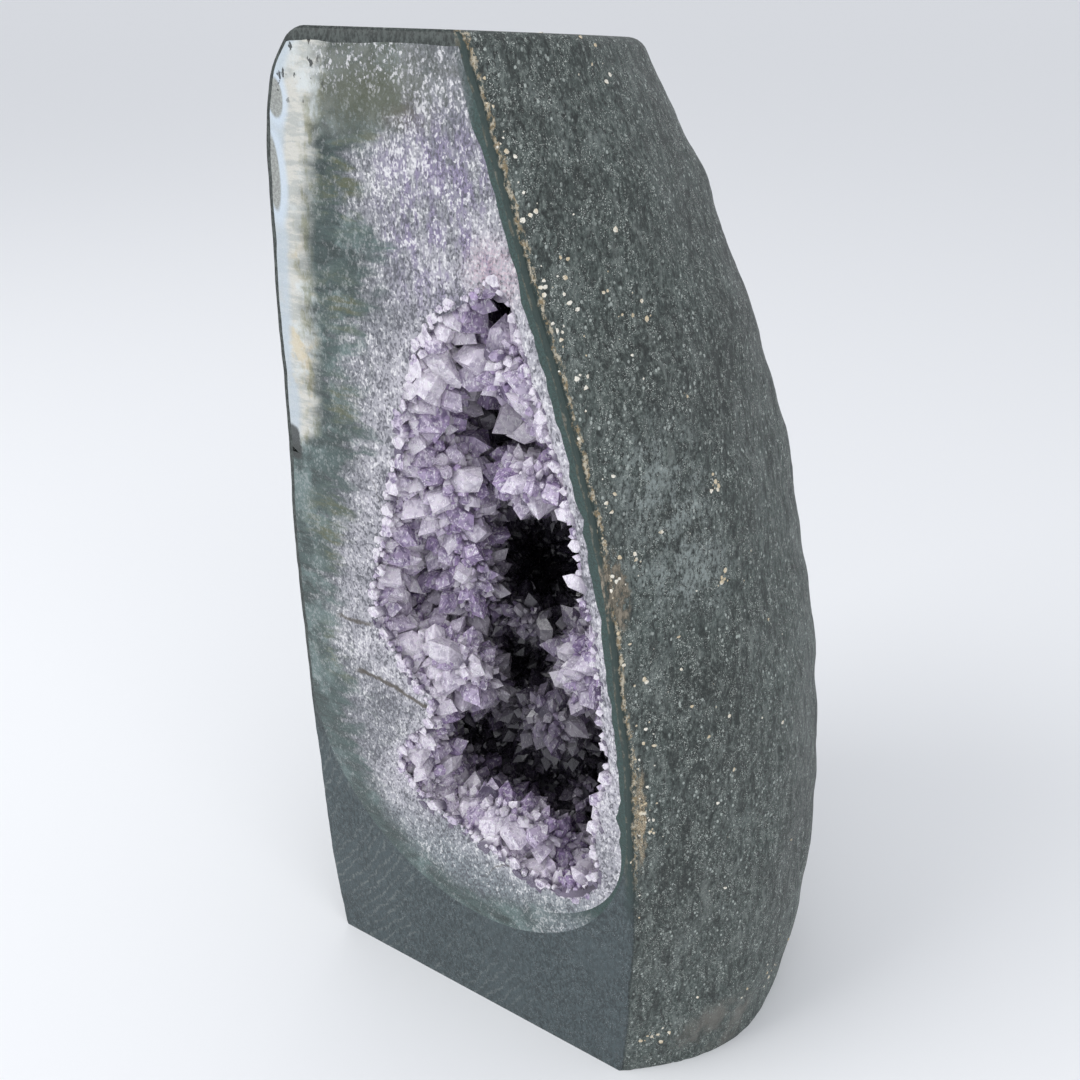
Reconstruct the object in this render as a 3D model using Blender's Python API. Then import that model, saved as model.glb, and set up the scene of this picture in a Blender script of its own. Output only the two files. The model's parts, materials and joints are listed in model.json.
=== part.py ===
"""Upright amethyst geode: dark host rock sawn flat in front and underneath, its agate layers seen edge-on
on the cut face, and a tall hollow lined with amethyst crystals.

Metres, +Z up. The cut face looks towards -Y. While it is built, x runs to the right along the cut face
from its lower left corner and y runs back into the stone; the "geode" empty then moves all of it so that
the origin is under the middle of the stone, on the surface it stands on.
"""

import math
import random

import bmesh
import bpy
from mathutils import Matrix, Vector, noise

MM = 0.001

# Driving dimensions. Each profile is a list of (height, value), both in millimetres.
HEIGHT = 382
GAP = 0.3
LIP = 1.8
TOP_LIP = 4.0
TOP_TILT = 0.06
ROUGHNESS = 1.7
OVERSHOOT = 8.0

LEFT_EDGE = [(0, 2), (25, -1), (60, -3), (150, -4.5), (200, -4), (245, -1), (300, 1), (340, 3.5),
             (360, 6.5), (370, 10), (378, 16), (382, 20)]
RIGHT_EDGE = [(0, 147), (60, 148), (110, 147), (145, 144.5), (180, 140), (215, 134.5), (245, 127.5),
              (270, 120), (300, 110), (330, 99.5), (350, 93), (370, 86), (382, 82)]
RIGHT_BELLY = [(0, 38), (60, 40), (120, 38), (180, 34), (230, 30), (300, 28), (350, 24), (382, 20)]
LEFT_BELLY = [(0, 10), (120, 13), (260, 12), (382, 7)]
BODY_DEPTH = [(0, 138), (60, 149), (140, 152), (230, 146), (300, 132), (350, 116), (382, 102)]
BODY_LEVELS = [0, 2, 30, 65, 100, 135, 170, 205, 245, 270, 300, 330, 350, 362, 372, 379, 382]

# The agate fills the face down to a rounded foot, and the host rock is left below it.
AGATE_FOOT = {"low": 49, "high": 127, "middle": 71, "lean": 9, "half_width": 73.5, "depth": 124}
AGATE_DEPTH = [(127, 124), (160, 127), (220, 123), (280, 107), (320, 84), (350, 62), (378, 44)]
QUARTZ_FOOT = {"low": 64, "high": 115, "middle": 76, "lean": 10, "half_width": 64, "depth": 114}
QUARTZ_LEFT = [(115, 12), (140, 8), (160, 10), (200, 17), (220, 22), (245, 29), (280, 41), (320, 40),
               (350, 44), (378, 46)]
QUARTZ_DEPTH = [(115, 114), (160, 117), (220, 113), (280, 97), (320, 74), (350, 52), (378, 34)]
LINE_WIDTH = 3.0
LAYER_LEVELS = [135, 170, 205, 245, 270, 300, 330, 350, 362, 372, 378]

# White band along the upper left edge, and the chip broken out of the edge below it.
BAND_EDGE = [(238, 3), (246, 10), (260, 15), (280, 17), (320, 19), (350, 21), (378, 27), (390, 29)]
BAND_THICKNESS = 34
CHIP = {"x": -1.5, "z": 241, "radius": 6.5}

# Mouth of the hollow on the cut face, and how far it goes back.
MOUTH_LEFT = [(80, 112), (84, 98), (90, 78), (95, 60), (102, 48), (112, 41), (120, 43), (130, 50),
              (140, 58), (146, 60), (155, 52), (165, 42), (175, 36), (187, 34), (200, 36), (215, 41),
              (240, 47), (255, 51), (270, 55), (280, 58), (290, 64), (300, 72), (308, 84), (313, 91)]
MOUTH_RIGHT = [(80, 118), (84, 126), (90, 130), (102, 132.5), (120, 132), (145, 134.5), (165, 133),
               (187, 130.5), (215, 125), (240, 119.5), (255, 115.5), (270, 110.5), (290, 103.5),
               (300, 100), (308, 96), (313, 92.5)]
HOLLOW_DEPTH = [(80, 10), (84, 22), (90, 38), (100, 56), (120, 76), (150, 88), (190, 90), (220, 84),
                (245, 73), (265, 60), (285, 44), (300, 31), (308, 20), (313, 8)]
HOLLOW_LEVELS = [80, 84, 90, 97, 106, 117, 128, 138, 147, 157, 168, 180, 193, 207, 221, 235, 248, 260,
                 271, 281, 290, 298, 305, 310, 313]
UNDERCUT = 10
CRUST_ROUGHNESS = 1.9

# Crystal clusters: height, place round the wall from the right edge (0) by the back to the left edge (1),
# radius of the mound, number of crystals and radius of each crystal.
CLUSTERS = [
    {"z": 291, "around": 0.42, "mound": 10.0, "count": 8, "crystal": 3.9},
    {"z": 281, "around": 0.83, "mound": 10.5, "count": 8, "crystal": 4.3},
    {"z": 262, "around": 0.54, "mound": 11.5, "count": 9, "crystal": 4.2},
    {"z": 253, "around": 0.80, "mound": 13.0, "count": 10, "crystal": 4.8},
    {"z": 226, "around": 0.80, "mound": 14.0, "count": 11, "crystal": 4.7},
    {"z": 229, "around": 0.56, "mound": 12.5, "count": 10, "crystal": 4.2},
    {"z": 197, "around": 0.82, "mound": 14.5, "count": 11, "crystal": 5.2},
    {"z": 198, "around": 0.62, "mound": 13.5, "count": 11, "crystal": 4.4},
    {"z": 206, "around": 0.30, "mound": 12.5, "count": 10, "crystal": 4.4},
    {"z": 168, "around": 0.72, "mound": 14.0, "count": 11, "crystal": 5.0},
    {"z": 167, "around": 0.30, "mound": 15.0, "count": 12, "crystal": 4.8},
    {"z": 138, "around": 0.62, "mound": 13.0, "count": 10, "crystal": 4.4},
    {"z": 116, "around": 0.72, "mound": 9.5, "count": 8, "crystal": 3.8},
    {"z": 106, "around": 0.46, "mound": 13.0, "count": 11, "crystal": 4.8},
]
MOUND_HEIGHT = 0.55
MOUND_RISE = 3.8
SMOOTH_ANGLE = math.radians(35)

COLOURS = {
    "basalt": (0.075, 0.085, 0.085, 1.0),
    "agate": (0.13, 0.2, 0.19, 1.0),
    "chalcedony": (0.62, 0.64, 0.62, 1.0),
    "quartz": (0.5, 0.45, 0.5, 1.0),
    "amethyst": (0.36, 0.26, 0.46, 1.0),
}
FINISH = {"basalt": 0.75, "agate": 0.3, "chalcedony": 0.28, "quartz": 0.35, "amethyst": 0.12}


def clear_scene():
    for obj in list(bpy.data.objects):
        bpy.data.objects.remove(obj)


def value_at(profile, height):
    """Value of a (height, value) profile, straight between its stops."""
    if height <= profile[0][0]:
        return profile[0][1]
    for (low, start), (high, end) in zip(profile, profile[1:]):
        if height <= high:
            return start + (end - start) * (height - low) / (high - low)
    return profile[-1][1]


def foot_span(foot, height):
    """Left, right and depth of a layer inside its rounded foot."""
    drop = (foot["high"] - height) / (foot["high"] - foot["low"])
    width = math.sqrt(max(1 - drop * drop, 0.0))
    middle = foot["middle"] + foot["lean"] * drop
    half = foot["half_width"] * width
    return middle - half, middle + half, foot["depth"] * width


def tilted(level, depth):
    """Height of a point: the top slopes gently down towards the back."""
    share = max(level - 330, 0) / (HEIGHT - 330)
    return level - TOP_TILT * max(depth, 0) * share


def plan_ring(left, right, left_belly, right_belly, depth, front=0.0):
    """One level of a layer, seen from above: across the face, back along the right flank, round, forward."""
    belly = 0.44 * depth
    ring = [(left, front), (right, front)]
    if front:
        ring.append((right, 0.0))
    for step in (0.12, 0.3, 0.55, 0.8, 1.0):
        ring.append((right + right_belly * (1 - (1 - step) ** 2.2), belly * step))
    middle = (left - left_belly + right + right_belly) / 2
    for side, reach in ((1, right + right_belly - middle), (-1, middle - left + left_belly)):
        turns = (0.2, 0.4, 0.6, 0.8, 1.0) if side > 0 else (0.8, 0.6, 0.4, 0.2, 0.0)
        for turn in turns:
            angle = turn * math.pi / 2
            x = middle + side * reach * math.cos(angle) ** 0.8
            ring.append((x, belly + (depth - belly) * math.sin(angle) ** 0.8))
    for step in (0.7, 0.4, 0.15):
        ring.append((left - left_belly * (1 - (1 - step) ** 2), belly * step))
    if front:
        ring.append((left, 0.0))
    return ring


def loft(name, rings):
    """Closed mesh object from rings of (x, y, z) millimetre points, lowest ring first."""
    mesh = bpy.data.meshes.new(name)
    shape = bmesh.new()
    rows = []
    for ring in rings:
        rows.append([shape.verts.new(Vector(point) * MM) for point in ring])
    shape.faces.new(list(reversed(rows[0])))
    shape.faces.new(rows[-1])
    count = len(rows[0])
    for low, high in zip(rows, rows[1:]):
        for i in range(count):
            j = (i + 1) % count
            shape.faces.new((low[i], low[j], high[j], high[i]))
    shape.to_mesh(mesh)
    shape.free()
    return bpy.data.objects.new(name, mesh)


def roughened(point):
    """Weathered outer skin: the flanks and back wander a little, and the cut face stays flat."""
    x, y, z = point
    strength = ROUGHNESS * min(max(y - 1, 0) / 12, 1)
    place = Vector((x, y, z)) / 34
    wander = noise.noise_vector(place)
    return x + strength * wander.x, y + strength * wander.y, z


def body_object():
    rings = []
    for level in BODY_LEVELS:
        inset = 2.5 if level in (0, HEIGHT) else 0.0
        ring = plan_ring(
            value_at(LEFT_EDGE, level) + inset,
            value_at(RIGHT_EDGE, level) - inset,
            value_at(LEFT_BELLY, level),
            value_at(RIGHT_BELLY, level),
            value_at(BODY_DEPTH, level) - inset,
        )
        lifted = [(x, max(y, inset * 0.5), tilted(level, y)) for x, y in ring]
        rings.append([roughened(point) for point in lifted])
    return loft("basalt_shell", rings)


def layer_rings(left_of, right_of, foot, depth_profile, gap, front, above):
    """Rings of an agate or quartz body: its rounded foot, then up to the sawn top, or above it."""
    steps = (0.97, 0.86, 0.68, 0.46, 0.22, 0.0)
    levels = [foot["high"] - (foot["high"] - foot["low"]) * step for step in steps]
    levels += [level for level in LAYER_LEVELS if level > foot["high"] + 5]
    top = HEIGHT - TOP_LIP
    rings = []
    for level in levels:
        if level <= foot["high"]:
            left, right, depth = foot_span(foot, level)
        else:
            left, right = left_of(level), right_of(level)
            depth = value_at(depth_profile, level)
        outer_left = value_at(LEFT_EDGE, level) - value_at(LEFT_BELLY, level) + 12 + (left - left_of(level))
        outer_right = value_at(RIGHT_EDGE, level) + value_at(RIGHT_BELLY, level) - 10
        left_belly = max(left - outer_left - layer_inset(foot), 0.0)
        right_belly = max(outer_right - value_at(RIGHT_EDGE, level) - layer_inset(foot), 4.0)
        right_belly *= depth / foot["depth"]
        left_belly *= depth / foot["depth"]
        if level == top:
            level = top + above - gap
        if level < foot["low"] + 4:
            level += gap
        ring = plan_ring(left + gap, right - gap, left_belly, right_belly, depth - gap, front)
        rings.append([(x, y, tilted(level, y)) for x, y in ring])
    return rings


def layer_inset(foot):
    """How much further inside the stone the quartz lies than the agate."""
    return 6.0 if foot is QUARTZ_FOOT else 0.0


def agate_left(level):
    return value_at(LEFT_EDGE, level) + LIP


def agate_right(level):
    return value_at(RIGHT_EDGE, level) - LIP


def quartz_left(level):
    return value_at(QUARTZ_LEFT, level)


def quartz_right(level):
    return agate_right(level) - LINE_WIDTH


def agate_object(name, gap, front=0.0):
    return loft(name, layer_rings(agate_left, agate_right, AGATE_FOOT, AGATE_DEPTH, gap, front, 0.0))


def quartz_object(name, gap, front=0.0, above=0.0):
    return loft(name, layer_rings(quartz_left, quartz_right, QUARTZ_FOOT, QUARTZ_DEPTH, gap, front, above))


def band_object(name, gap):
    """Block that splits the white band off the agate: everything left of the band's edge, near the face."""
    levels = [238, 246, 260, 280, 320, 350, 378, 390]
    rings = []
    for level in levels:
        edge = value_at(BAND_EDGE, level) + gap
        back = BAND_THICKNESS + gap
        height = level - gap if level == levels[0] else level
        rings.append([(x, y, height) for x, y in ((-60, -OVERSHOOT), (edge, -OVERSHOOT), (edge, back), (-60, back))])
    return loft(name, rings)


def hollow_point(level, around):
    """A point of the hollow's wall: a cubic curve from the mouth's right edge, by the back, to its left edge."""
    left = value_at(MOUTH_LEFT, level)
    right = value_at(MOUTH_RIGHT, level)
    depth = value_at(HOLLOW_DEPTH, level)
    width = right - left
    share = depth / 92
    corners = (
        (right, 0.0),
        (right + UNDERCUT * 1.6 * share, depth * 1.5),
        (left + width * 0.28, depth * 1.16),
        (left, 0.0),
    )
    weights = (
        (1 - around) ** 3,
        3 * (1 - around) ** 2 * around,
        3 * (1 - around) * around**2,
        around**3,
    )
    x = sum(weight * corner[0] for weight, corner in zip(weights, corners))
    y = sum(weight * corner[1] for weight, corner in zip(weights, corners))
    return Vector((x, y, level))


def hollow_normal(level, around):
    """Direction from the wall into the hollow."""
    step = 0.02
    rise = 4.0
    along = hollow_point(level, min(around + step, 1)) - hollow_point(level, max(around - step, 0))
    upward = hollow_point(level + rise, around) - hollow_point(level - rise, around)
    return upward.cross(along).normalized()


def hollow_object():
    """The hollow with its crystal crust: a jagged wall, open through the face."""
    count = 15
    rough = random.Random(7)
    rings = []
    for level in HOLLOW_LEVELS:
        left = value_at(MOUTH_LEFT, level)
        right = value_at(MOUTH_RIGHT, level)
        ring = [(left, -OVERSHOOT, level), (right, -OVERSHOOT, level)]
        for i in range(count + 1):
            around = i / count
            point = hollow_point(level, around)
            inside = min(point.y / 10, 1)
            jag = hollow_normal(level, around) * rough.uniform(-1, 1) * CRUST_ROUGHNESS * inside
            lift = rough.uniform(-1, 1) * inside
            edge_wander = noise.noise(point / 9) * 1.2 if inside < 0.5 else 0.0
            ring.append((point.x + jag.x + edge_wander, max(point.y + jag.y, 0.0), point.z + lift))
        rings.append(ring)
    return loft("hollow_cutter", rings)


def crystal_into(shape, radius, length, base, direction, spin):
    """Adds one six-sided crystal with a pyramid tip."""
    tip = radius * 1.35
    prism = length - tip
    made = bmesh.ops.create_cone(
        shape, cap_ends=True, segments=6, radius1=radius, radius2=radius * 0.93, depth=prism
    )
    verts = made["verts"]
    bmesh.ops.translate(shape, verts=verts, vec=(0, 0, prism / 2))
    faces = {face for vert in verts for face in vert.link_faces}
    shoulder = max(faces, key=lambda face: face.calc_center_median().z)
    point = bmesh.ops.poke(shape, faces=[shoulder])["verts"][0]
    point.co += Vector((radius * 0.14, 0, tip))
    turn = Matrix.Translation(base) @ direction.to_track_quat("Z", "Y").to_matrix().to_4x4()
    turn = turn @ Matrix.Rotation(spin, 4, "Z")
    bmesh.ops.transform(shape, matrix=turn, verts=verts + [point])


def mesh_object(name, shape):
    bmesh.ops.recalc_face_normals(shape, faces=shape.faces)
    mesh = bpy.data.meshes.new(name)
    shape.to_mesh(mesh)
    shape.free()
    return bpy.data.objects.new(name, mesh)


def cluster_frame(spec):
    """Root of a cluster just off the wall, and the way it grows."""
    inward = hollow_normal(spec["z"], spec["around"])
    root = hollow_point(spec["z"], spec["around"]) + inward * MOUND_RISE
    return root, inward


def mound_object(name, spec, grow):
    """The rounded knob of quartz that a cluster grows from."""
    root, inward = cluster_frame(spec)
    shape = bmesh.new()
    bmesh.ops.create_icosphere(shape, subdivisions=1, radius=(spec["mound"] + grow * 1.3) * MM)
    squash = Matrix.Diagonal((1.0, 1.0, MOUND_HEIGHT, 1.0))
    turn = Matrix.Translation(root * MM) @ inward.to_track_quat("Z", "Y").to_matrix().to_4x4()
    bmesh.ops.transform(shape, matrix=turn @ squash, verts=shape.verts)
    return mesh_object(name, shape)


def points_object(name, spec, number):
    """The crystals of one cluster, spread like a bouquet round its middle."""
    root, inward = cluster_frame(spec)
    rough = random.Random(number * 13 + 5)
    side = inward.orthogonal().normalized()
    other = inward.cross(side)
    shape = bmesh.new()
    for i in range(spec["count"]):
        ring = math.sqrt((i + 0.2) / spec["count"])
        angle = i * 2.39996 + rough.uniform(-0.2, 0.2)
        lean = ring * 0.42
        outward = side * math.cos(angle) + other * math.sin(angle)
        direction = (inward * math.cos(lean) + outward * math.sin(lean)).normalized()
        radius = spec["crystal"] * rough.uniform(0.75, 1.1)
        base = root + outward * ring * spec["mound"] * 0.55
        dome = spec["mound"] * MOUND_HEIGHT * math.sqrt(1 - 0.4 * ring * ring)
        length = dome + radius * rough.uniform(1.3, 2.4)
        crystal_into(shape, radius * MM, length * MM, base * MM, direction, rough.uniform(0, 1))
    return mesh_object(name, shape)


def chip_object(name, grow):
    """The broken edge: a rough pit in the left edge of the face."""
    shape = bmesh.new()
    bmesh.ops.create_icosphere(shape, subdivisions=2, radius=(CHIP["radius"] + grow) * MM)
    for vert in shape.verts:
        place = vert.co / MM
        vert.co *= 1 + 0.16 * noise.noise(place / 4)
    squash = Matrix.Diagonal((0.95, 0.8, 1.35, 1.0))
    place = Matrix.Translation(Vector((CHIP["x"], 0, CHIP["z"])) * MM)
    bmesh.ops.transform(shape, matrix=place @ squash, verts=shape.verts)
    return mesh_object(name, shape)


def boolean(obj, other, operation, overlapping=False):
    modifier = obj.modifiers.new(f"{operation.lower()} {other.name}", "BOOLEAN")
    modifier.operation = operation
    modifier.object = other
    modifier.solver = "EXACT"
    modifier.use_self = overlapping


def stone_material(name):
    material = bpy.data.materials.new(name)
    material.use_nodes = True
    shader = material.node_tree.nodes["Principled BSDF"]
    shader.inputs["Base Color"].default_value = COLOURS[name]
    shader.inputs["Roughness"].default_value = FINISH[name]
    shader.inputs["Metallic"].default_value = 0.0
    return material


def keep(obj, material, collection, parent):
    obj.data.materials.append(material)
    obj.data.shade_smooth()
    obj.data.set_sharp_from_angle(angle=SMOOTH_ANGLE)
    collection.objects.link(obj)
    obj.parent = parent
    return obj


def hide(obj, collection, parent):
    collection.objects.link(obj)
    obj.parent = parent
    obj.hide_render = True
    obj.display_type = "WIRE"
    return obj


def main():
    clear_scene()
    noise.seed_set(7)
    scene = bpy.context.scene
    pieces = bpy.data.collections.new("amethyst_geode")
    cutters = bpy.data.collections.new("geode_cutters")
    scene.collection.children.link(pieces)
    scene.collection.children.link(cutters)
    materials = {name: stone_material(name) for name in COLOURS}
    frame = bpy.data.objects.new("geode", None)
    pieces.objects.link(frame)

    body = keep(body_object(), materials["basalt"], pieces, frame)
    span_x = [corner[0] for corner in body.bound_box]
    span_y = [corner[1] for corner in body.bound_box]
    frame.location = (-(min(span_x) + max(span_x)) / 2, -(min(span_y) + max(span_y)) / 2, 0)

    agate_cutter = hide(agate_object("agate_cutter", 0.0, -OVERSHOOT), cutters, frame)
    quartz_cutter = hide(quartz_object("quartz_cutter", 0.0, -OVERSHOOT, OVERSHOOT), cutters, frame)
    band_cutter = hide(band_object("band_cutter", GAP), cutters, frame)
    band_block = hide(band_object("band_block", 0.0), cutters, frame)
    hollow = hide(hollow_object(), cutters, frame)
    chip = hide(chip_object("chip_cutter", 0.0), cutters, frame)

    boolean(body, agate_cutter, "DIFFERENCE")
    boolean(body, chip, "DIFFERENCE")

    agate = keep(agate_object("agate_rind", GAP), materials["agate"], pieces, frame)
    boolean(agate, quartz_cutter, "DIFFERENCE")
    boolean(agate, band_cutter, "DIFFERENCE")
    boolean(agate, chip, "DIFFERENCE")

    band = keep(agate_object("chalcedony_band", GAP), materials["chalcedony"], pieces, frame)
    boolean(band, quartz_cutter, "DIFFERENCE")
    boolean(band, band_block, "INTERSECT")
    boolean(band, chip, "DIFFERENCE")

    quartz = keep(quartz_object("quartz_lining", GAP), materials["quartz"], pieces, frame)
    boolean(quartz, hollow, "DIFFERENCE")
    for number, spec in enumerate(CLUSTERS, start=1):
        name = f"amethyst_cluster_{number:02d}"
        cluster = keep(mound_object(name, spec, 0.0), materials["amethyst"], pieces, frame)
        points = hide(points_object(f"{name}_points", spec, number), cutters, frame)
        boolean(cluster, points, "UNION", overlapping=True)
        socket = hide(mound_object(f"{name}_socket", spec, GAP), cutters, frame)
        boolean(quartz, socket, "DIFFERENCE")


main()
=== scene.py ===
import json
import math
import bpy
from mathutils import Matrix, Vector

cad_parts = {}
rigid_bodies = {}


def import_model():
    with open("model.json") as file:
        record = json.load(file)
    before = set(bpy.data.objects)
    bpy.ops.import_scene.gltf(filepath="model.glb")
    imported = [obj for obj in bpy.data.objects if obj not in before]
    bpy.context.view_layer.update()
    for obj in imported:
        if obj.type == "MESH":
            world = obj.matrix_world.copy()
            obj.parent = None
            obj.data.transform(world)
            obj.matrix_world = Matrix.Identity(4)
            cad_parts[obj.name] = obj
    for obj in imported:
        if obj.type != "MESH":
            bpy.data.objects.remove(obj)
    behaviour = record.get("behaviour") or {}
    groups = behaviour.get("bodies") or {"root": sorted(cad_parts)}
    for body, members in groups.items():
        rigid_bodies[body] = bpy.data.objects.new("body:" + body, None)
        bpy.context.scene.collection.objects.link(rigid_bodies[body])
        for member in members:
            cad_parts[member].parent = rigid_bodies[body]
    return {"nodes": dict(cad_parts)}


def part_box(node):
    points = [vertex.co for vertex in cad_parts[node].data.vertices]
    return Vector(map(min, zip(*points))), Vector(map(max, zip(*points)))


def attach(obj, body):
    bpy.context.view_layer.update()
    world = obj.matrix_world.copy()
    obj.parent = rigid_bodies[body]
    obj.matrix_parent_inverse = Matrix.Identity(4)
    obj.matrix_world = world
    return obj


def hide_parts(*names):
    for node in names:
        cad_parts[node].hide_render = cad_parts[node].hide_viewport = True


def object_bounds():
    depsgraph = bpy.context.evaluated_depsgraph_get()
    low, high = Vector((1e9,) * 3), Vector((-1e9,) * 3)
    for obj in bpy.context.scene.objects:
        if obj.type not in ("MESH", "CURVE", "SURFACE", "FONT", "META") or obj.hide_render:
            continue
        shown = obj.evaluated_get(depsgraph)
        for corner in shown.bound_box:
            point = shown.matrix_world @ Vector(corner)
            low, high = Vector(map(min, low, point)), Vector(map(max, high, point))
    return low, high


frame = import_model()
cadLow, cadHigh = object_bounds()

from types import SimpleNamespace

import bmesh
import bpy
import numpy as np
from mathutils import Vector

print("frame loaded with", len(frame["nodes"]), "nodes")

# metres: points nearer than this are welded, room kept inside the frame's box, and in front of the crystals
weldReach = 0.00001
boxSlack = 0.00005
sawnClear = 0.00012
# points in the shape of one chip and of one crystal
chipPoints = 8
crystalPoints = 14
# rows on the hidden back of a layer
bowlSteps = 10
# about one full turn, in radians
fullTurn = 6.283

# Everything is worked out in millimetres on the cut face: a to the right, n back into the stone, z up.
# Each profile holds heights, and the value at each of them.
stone = {
    "corner": (-84.971, -76.463),
    "height": 382.0,
    "topTilt": 0.06,
    "leftEdge": ([0, 25, 60, 150, 200, 245, 300, 340, 360, 370, 378, 382],
                 [2, -1, -3, -4.5, -4, -1, 1, 3.5, 6.5, 10, 16, 20]),
    "rightEdge": ([0, 60, 110, 145, 180, 215, 245, 270, 300, 330, 350, 370, 382],
                  [147, 148, 147, 144.5, 140, 134.5, 127.5, 120, 110, 99.5, 93, 86, 82]),
    "rightBelly": ([0, 60, 120, 180, 230, 300, 350, 382], [38, 40, 38, 34, 30, 28, 24, 20]),
    "leftBelly": ([0, 120, 260, 382], [10, 13, 12, 7]),
    "depth": ([0, 60, 140, 230, 300, 350, 382], [138, 149, 152, 146, 132, 116, 102]),
    "edgeRound": 3.5,
    "levelStep": 2.0,
    "wander": 1.5,
    "grain": 0.22,
}
layers = {
    "centre": (98.0, 170.0),
    "lip": 1.5,
    "topLip": 4.0,
    "agateFoot": {"low": 49, "high": 127, "middle": 71, "lean": 9, "half": 73.5},
    "quartzFoot": {"low": 64, "high": 118, "middle": 76, "lean": 10, "half": 66.5},
    "quartzLeft": ([115, 140, 160, 200, 220, 245, 280, 320, 350, 378],
                   [12, 8, 10, 17, 22, 29, 41, 40, 44, 46]),
    "line": 2.6,
    "bandEdge": ([238, 246, 260, 280, 320, 350, 378, 390], [3, 10, 15, 17, 19, 21, 27, 29]),
    "agateDepth": 124.0,
    "quartzDepth": 114.0,
    "bandDepth": 30,
    # rows of points across each layer on the cut face
    "rows": {"rock": 13, "agate": 12, "band": 9, "quartz": 26},
    "broken": 6.0,
}
hollow = {
    "left": ([80, 84, 90, 95, 102, 112, 120, 130, 140, 146, 155, 165, 175, 187, 200, 215, 240, 255, 270,
              280, 290, 300, 308, 313],
             [112, 98, 78, 60, 48, 41, 43, 50, 58, 60, 52, 42, 36, 34, 36, 41, 47, 51, 55,
              58, 64, 72, 84, 91]),
    "right": ([80, 84, 90, 102, 120, 145, 165, 187, 215, 240, 255, 270, 290, 300, 308, 313],
              [118, 126, 130, 132.5, 132, 134.5, 133, 130.5, 125, 119.5, 115.5, 110.5, 103.5, 100,
               96, 92.5]),
    "eye": (279.4, -268.4, 396.0),
    "baseDepth": 60.0,
    "ease": 30.0,
    "undercut": 0.26,
    "underRows": 15,
    "innerRows": 62,
    # knobs of crystal that stand forward and pockets that go back: a, z, width, height, depth
    "swells": [
        (65, 283, 12, 12, 7), (96, 290, 12, 15, 9), (109, 276, 8, 12, 8), (107, 252, 15, 10, 10),
        (70, 240, 18, 22, 12), (78, 212, 14, 22, 20), (66, 171, 27, 16, 11), (104, 201, 14, 9, 30),
        (128, 188, 10, 22, 12), (114, 162, 16, 14, 14), (54, 114, 12, 13, 8), (96, 107, 30, 12, 11),
        (92, 307, 10, 7.5, 60), (80, 296, 4, 6, 34), (85, 283, 4, 7, 38), (94, 274, 6, 5, 44),
        (104, 267, 6, 4, 40), (109, 226, 12, 15, 84), (101, 179, 8, 8, 62), (79, 144, 17, 10, 50),
        (128, 134, 5, 9, 38), (128, 116, 4, 7, 34),
    ],
}


def smoothAt(profile, at):
    # monotone cubic through the profile's stops
    x = np.array(profile[0], float)
    y = np.array(profile[1], float)
    h = np.diff(x)
    slope = np.diff(y) / h
    tangent = np.zeros(len(x))
    tangent[0], tangent[-1] = slope[0], slope[-1]
    same = slope[:-1] * slope[1:] > 0
    w1 = 2 * h[1:] + h[:-1]
    w2 = h[1:] + 2 * h[:-1]
    with np.errstate(divide="ignore", invalid="ignore"):
        mean = (w1 + w2) / (w1 / slope[:-1] + w2 / slope[1:])
    tangent[1:-1] = np.where(same, mean, 0.0)
    at = np.clip(np.asarray(at, float), x[0], x[-1])
    i = np.clip(np.searchsorted(x, at) - 1, 0, len(x) - 2)
    t = (at - x[i]) / h[i]
    return ((1 + 2 * t) * (1 - t) ** 2 * y[i] + t * (1 - t) ** 2 * h[i] * tangent[i]
            + t * t * (3 - 2 * t) * y[i + 1] + t * t * (t - 1) * h[i] * tangent[i + 1])


def waves(points, scale, seed, layersOf=4):
    # smooth pseudo-random field from a few turned sine sheets, about -1 to 1
    rng = np.random.default_rng(seed)
    total = np.zeros(len(points))
    size = 1.0
    for _ in range(layersOf):
        for _ in range(5):
            direction = rng.normal(size=3)
            direction /= np.linalg.norm(direction)
            phase = rng.uniform(0, fullTurn)
            total += size * np.sin(points @ direction * (fullTurn / scale) * rng.uniform(0.7, 1.4) + phase)
        size *= 0.55
        scale *= 0.5
    return total / 4.5


def humpAt(x, z, middleX, middleZ, wide, high, steep=1.0):
    # 1 at the middle of an oval, falling smoothly to nothing outside it
    return np.exp(-(((x - middleX) / wide) ** 2 + ((z - middleZ) / high) ** 2) ** steep)


def toWorld(points):
    shift = np.array([stone["corner"][0], stone["corner"][1], 0.0])
    return (np.asarray(points) + shift) / 1000


def wobble(z, seed, reach, size):
    z = np.asarray(z, float)
    return size * waves(np.stack([z, z * 0 + seed * 31.7, z * 0], 1), reach, seed, 3)


def leftEdgeAt(z):
    return smoothAt(stone["leftEdge"], z) + wobble(z, 3, 34, 0.55)


def rightEdgeAt(z):
    return smoothAt(stone["rightEdge"], z) + wobble(z, 5, 40, 0.6)


def makeObject(name, points, faces, attributes):
    mesh = bpy.data.meshes.new(name)
    mesh.from_pydata([tuple(p) for p in toWorld(points)], [], faces)
    addLayers(mesh, attributes)
    mesh.update()
    made = bpy.data.objects.new(name, mesh)
    bpy.context.scene.collection.objects.link(made)
    return made


# levels of the host rock, and how many points go round each stretch of it
levels = np.concatenate([[0, 0.7, 2.0], np.arange(4, 377, stone["levelStep"]),
                         [378.5, 379.2, 380.2, 381.2, 381.8, 382.0]])
flankSteps = {"right": 56, "rightBack": 66, "leftBack": 66, "left": 40, "front": 46}


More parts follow.
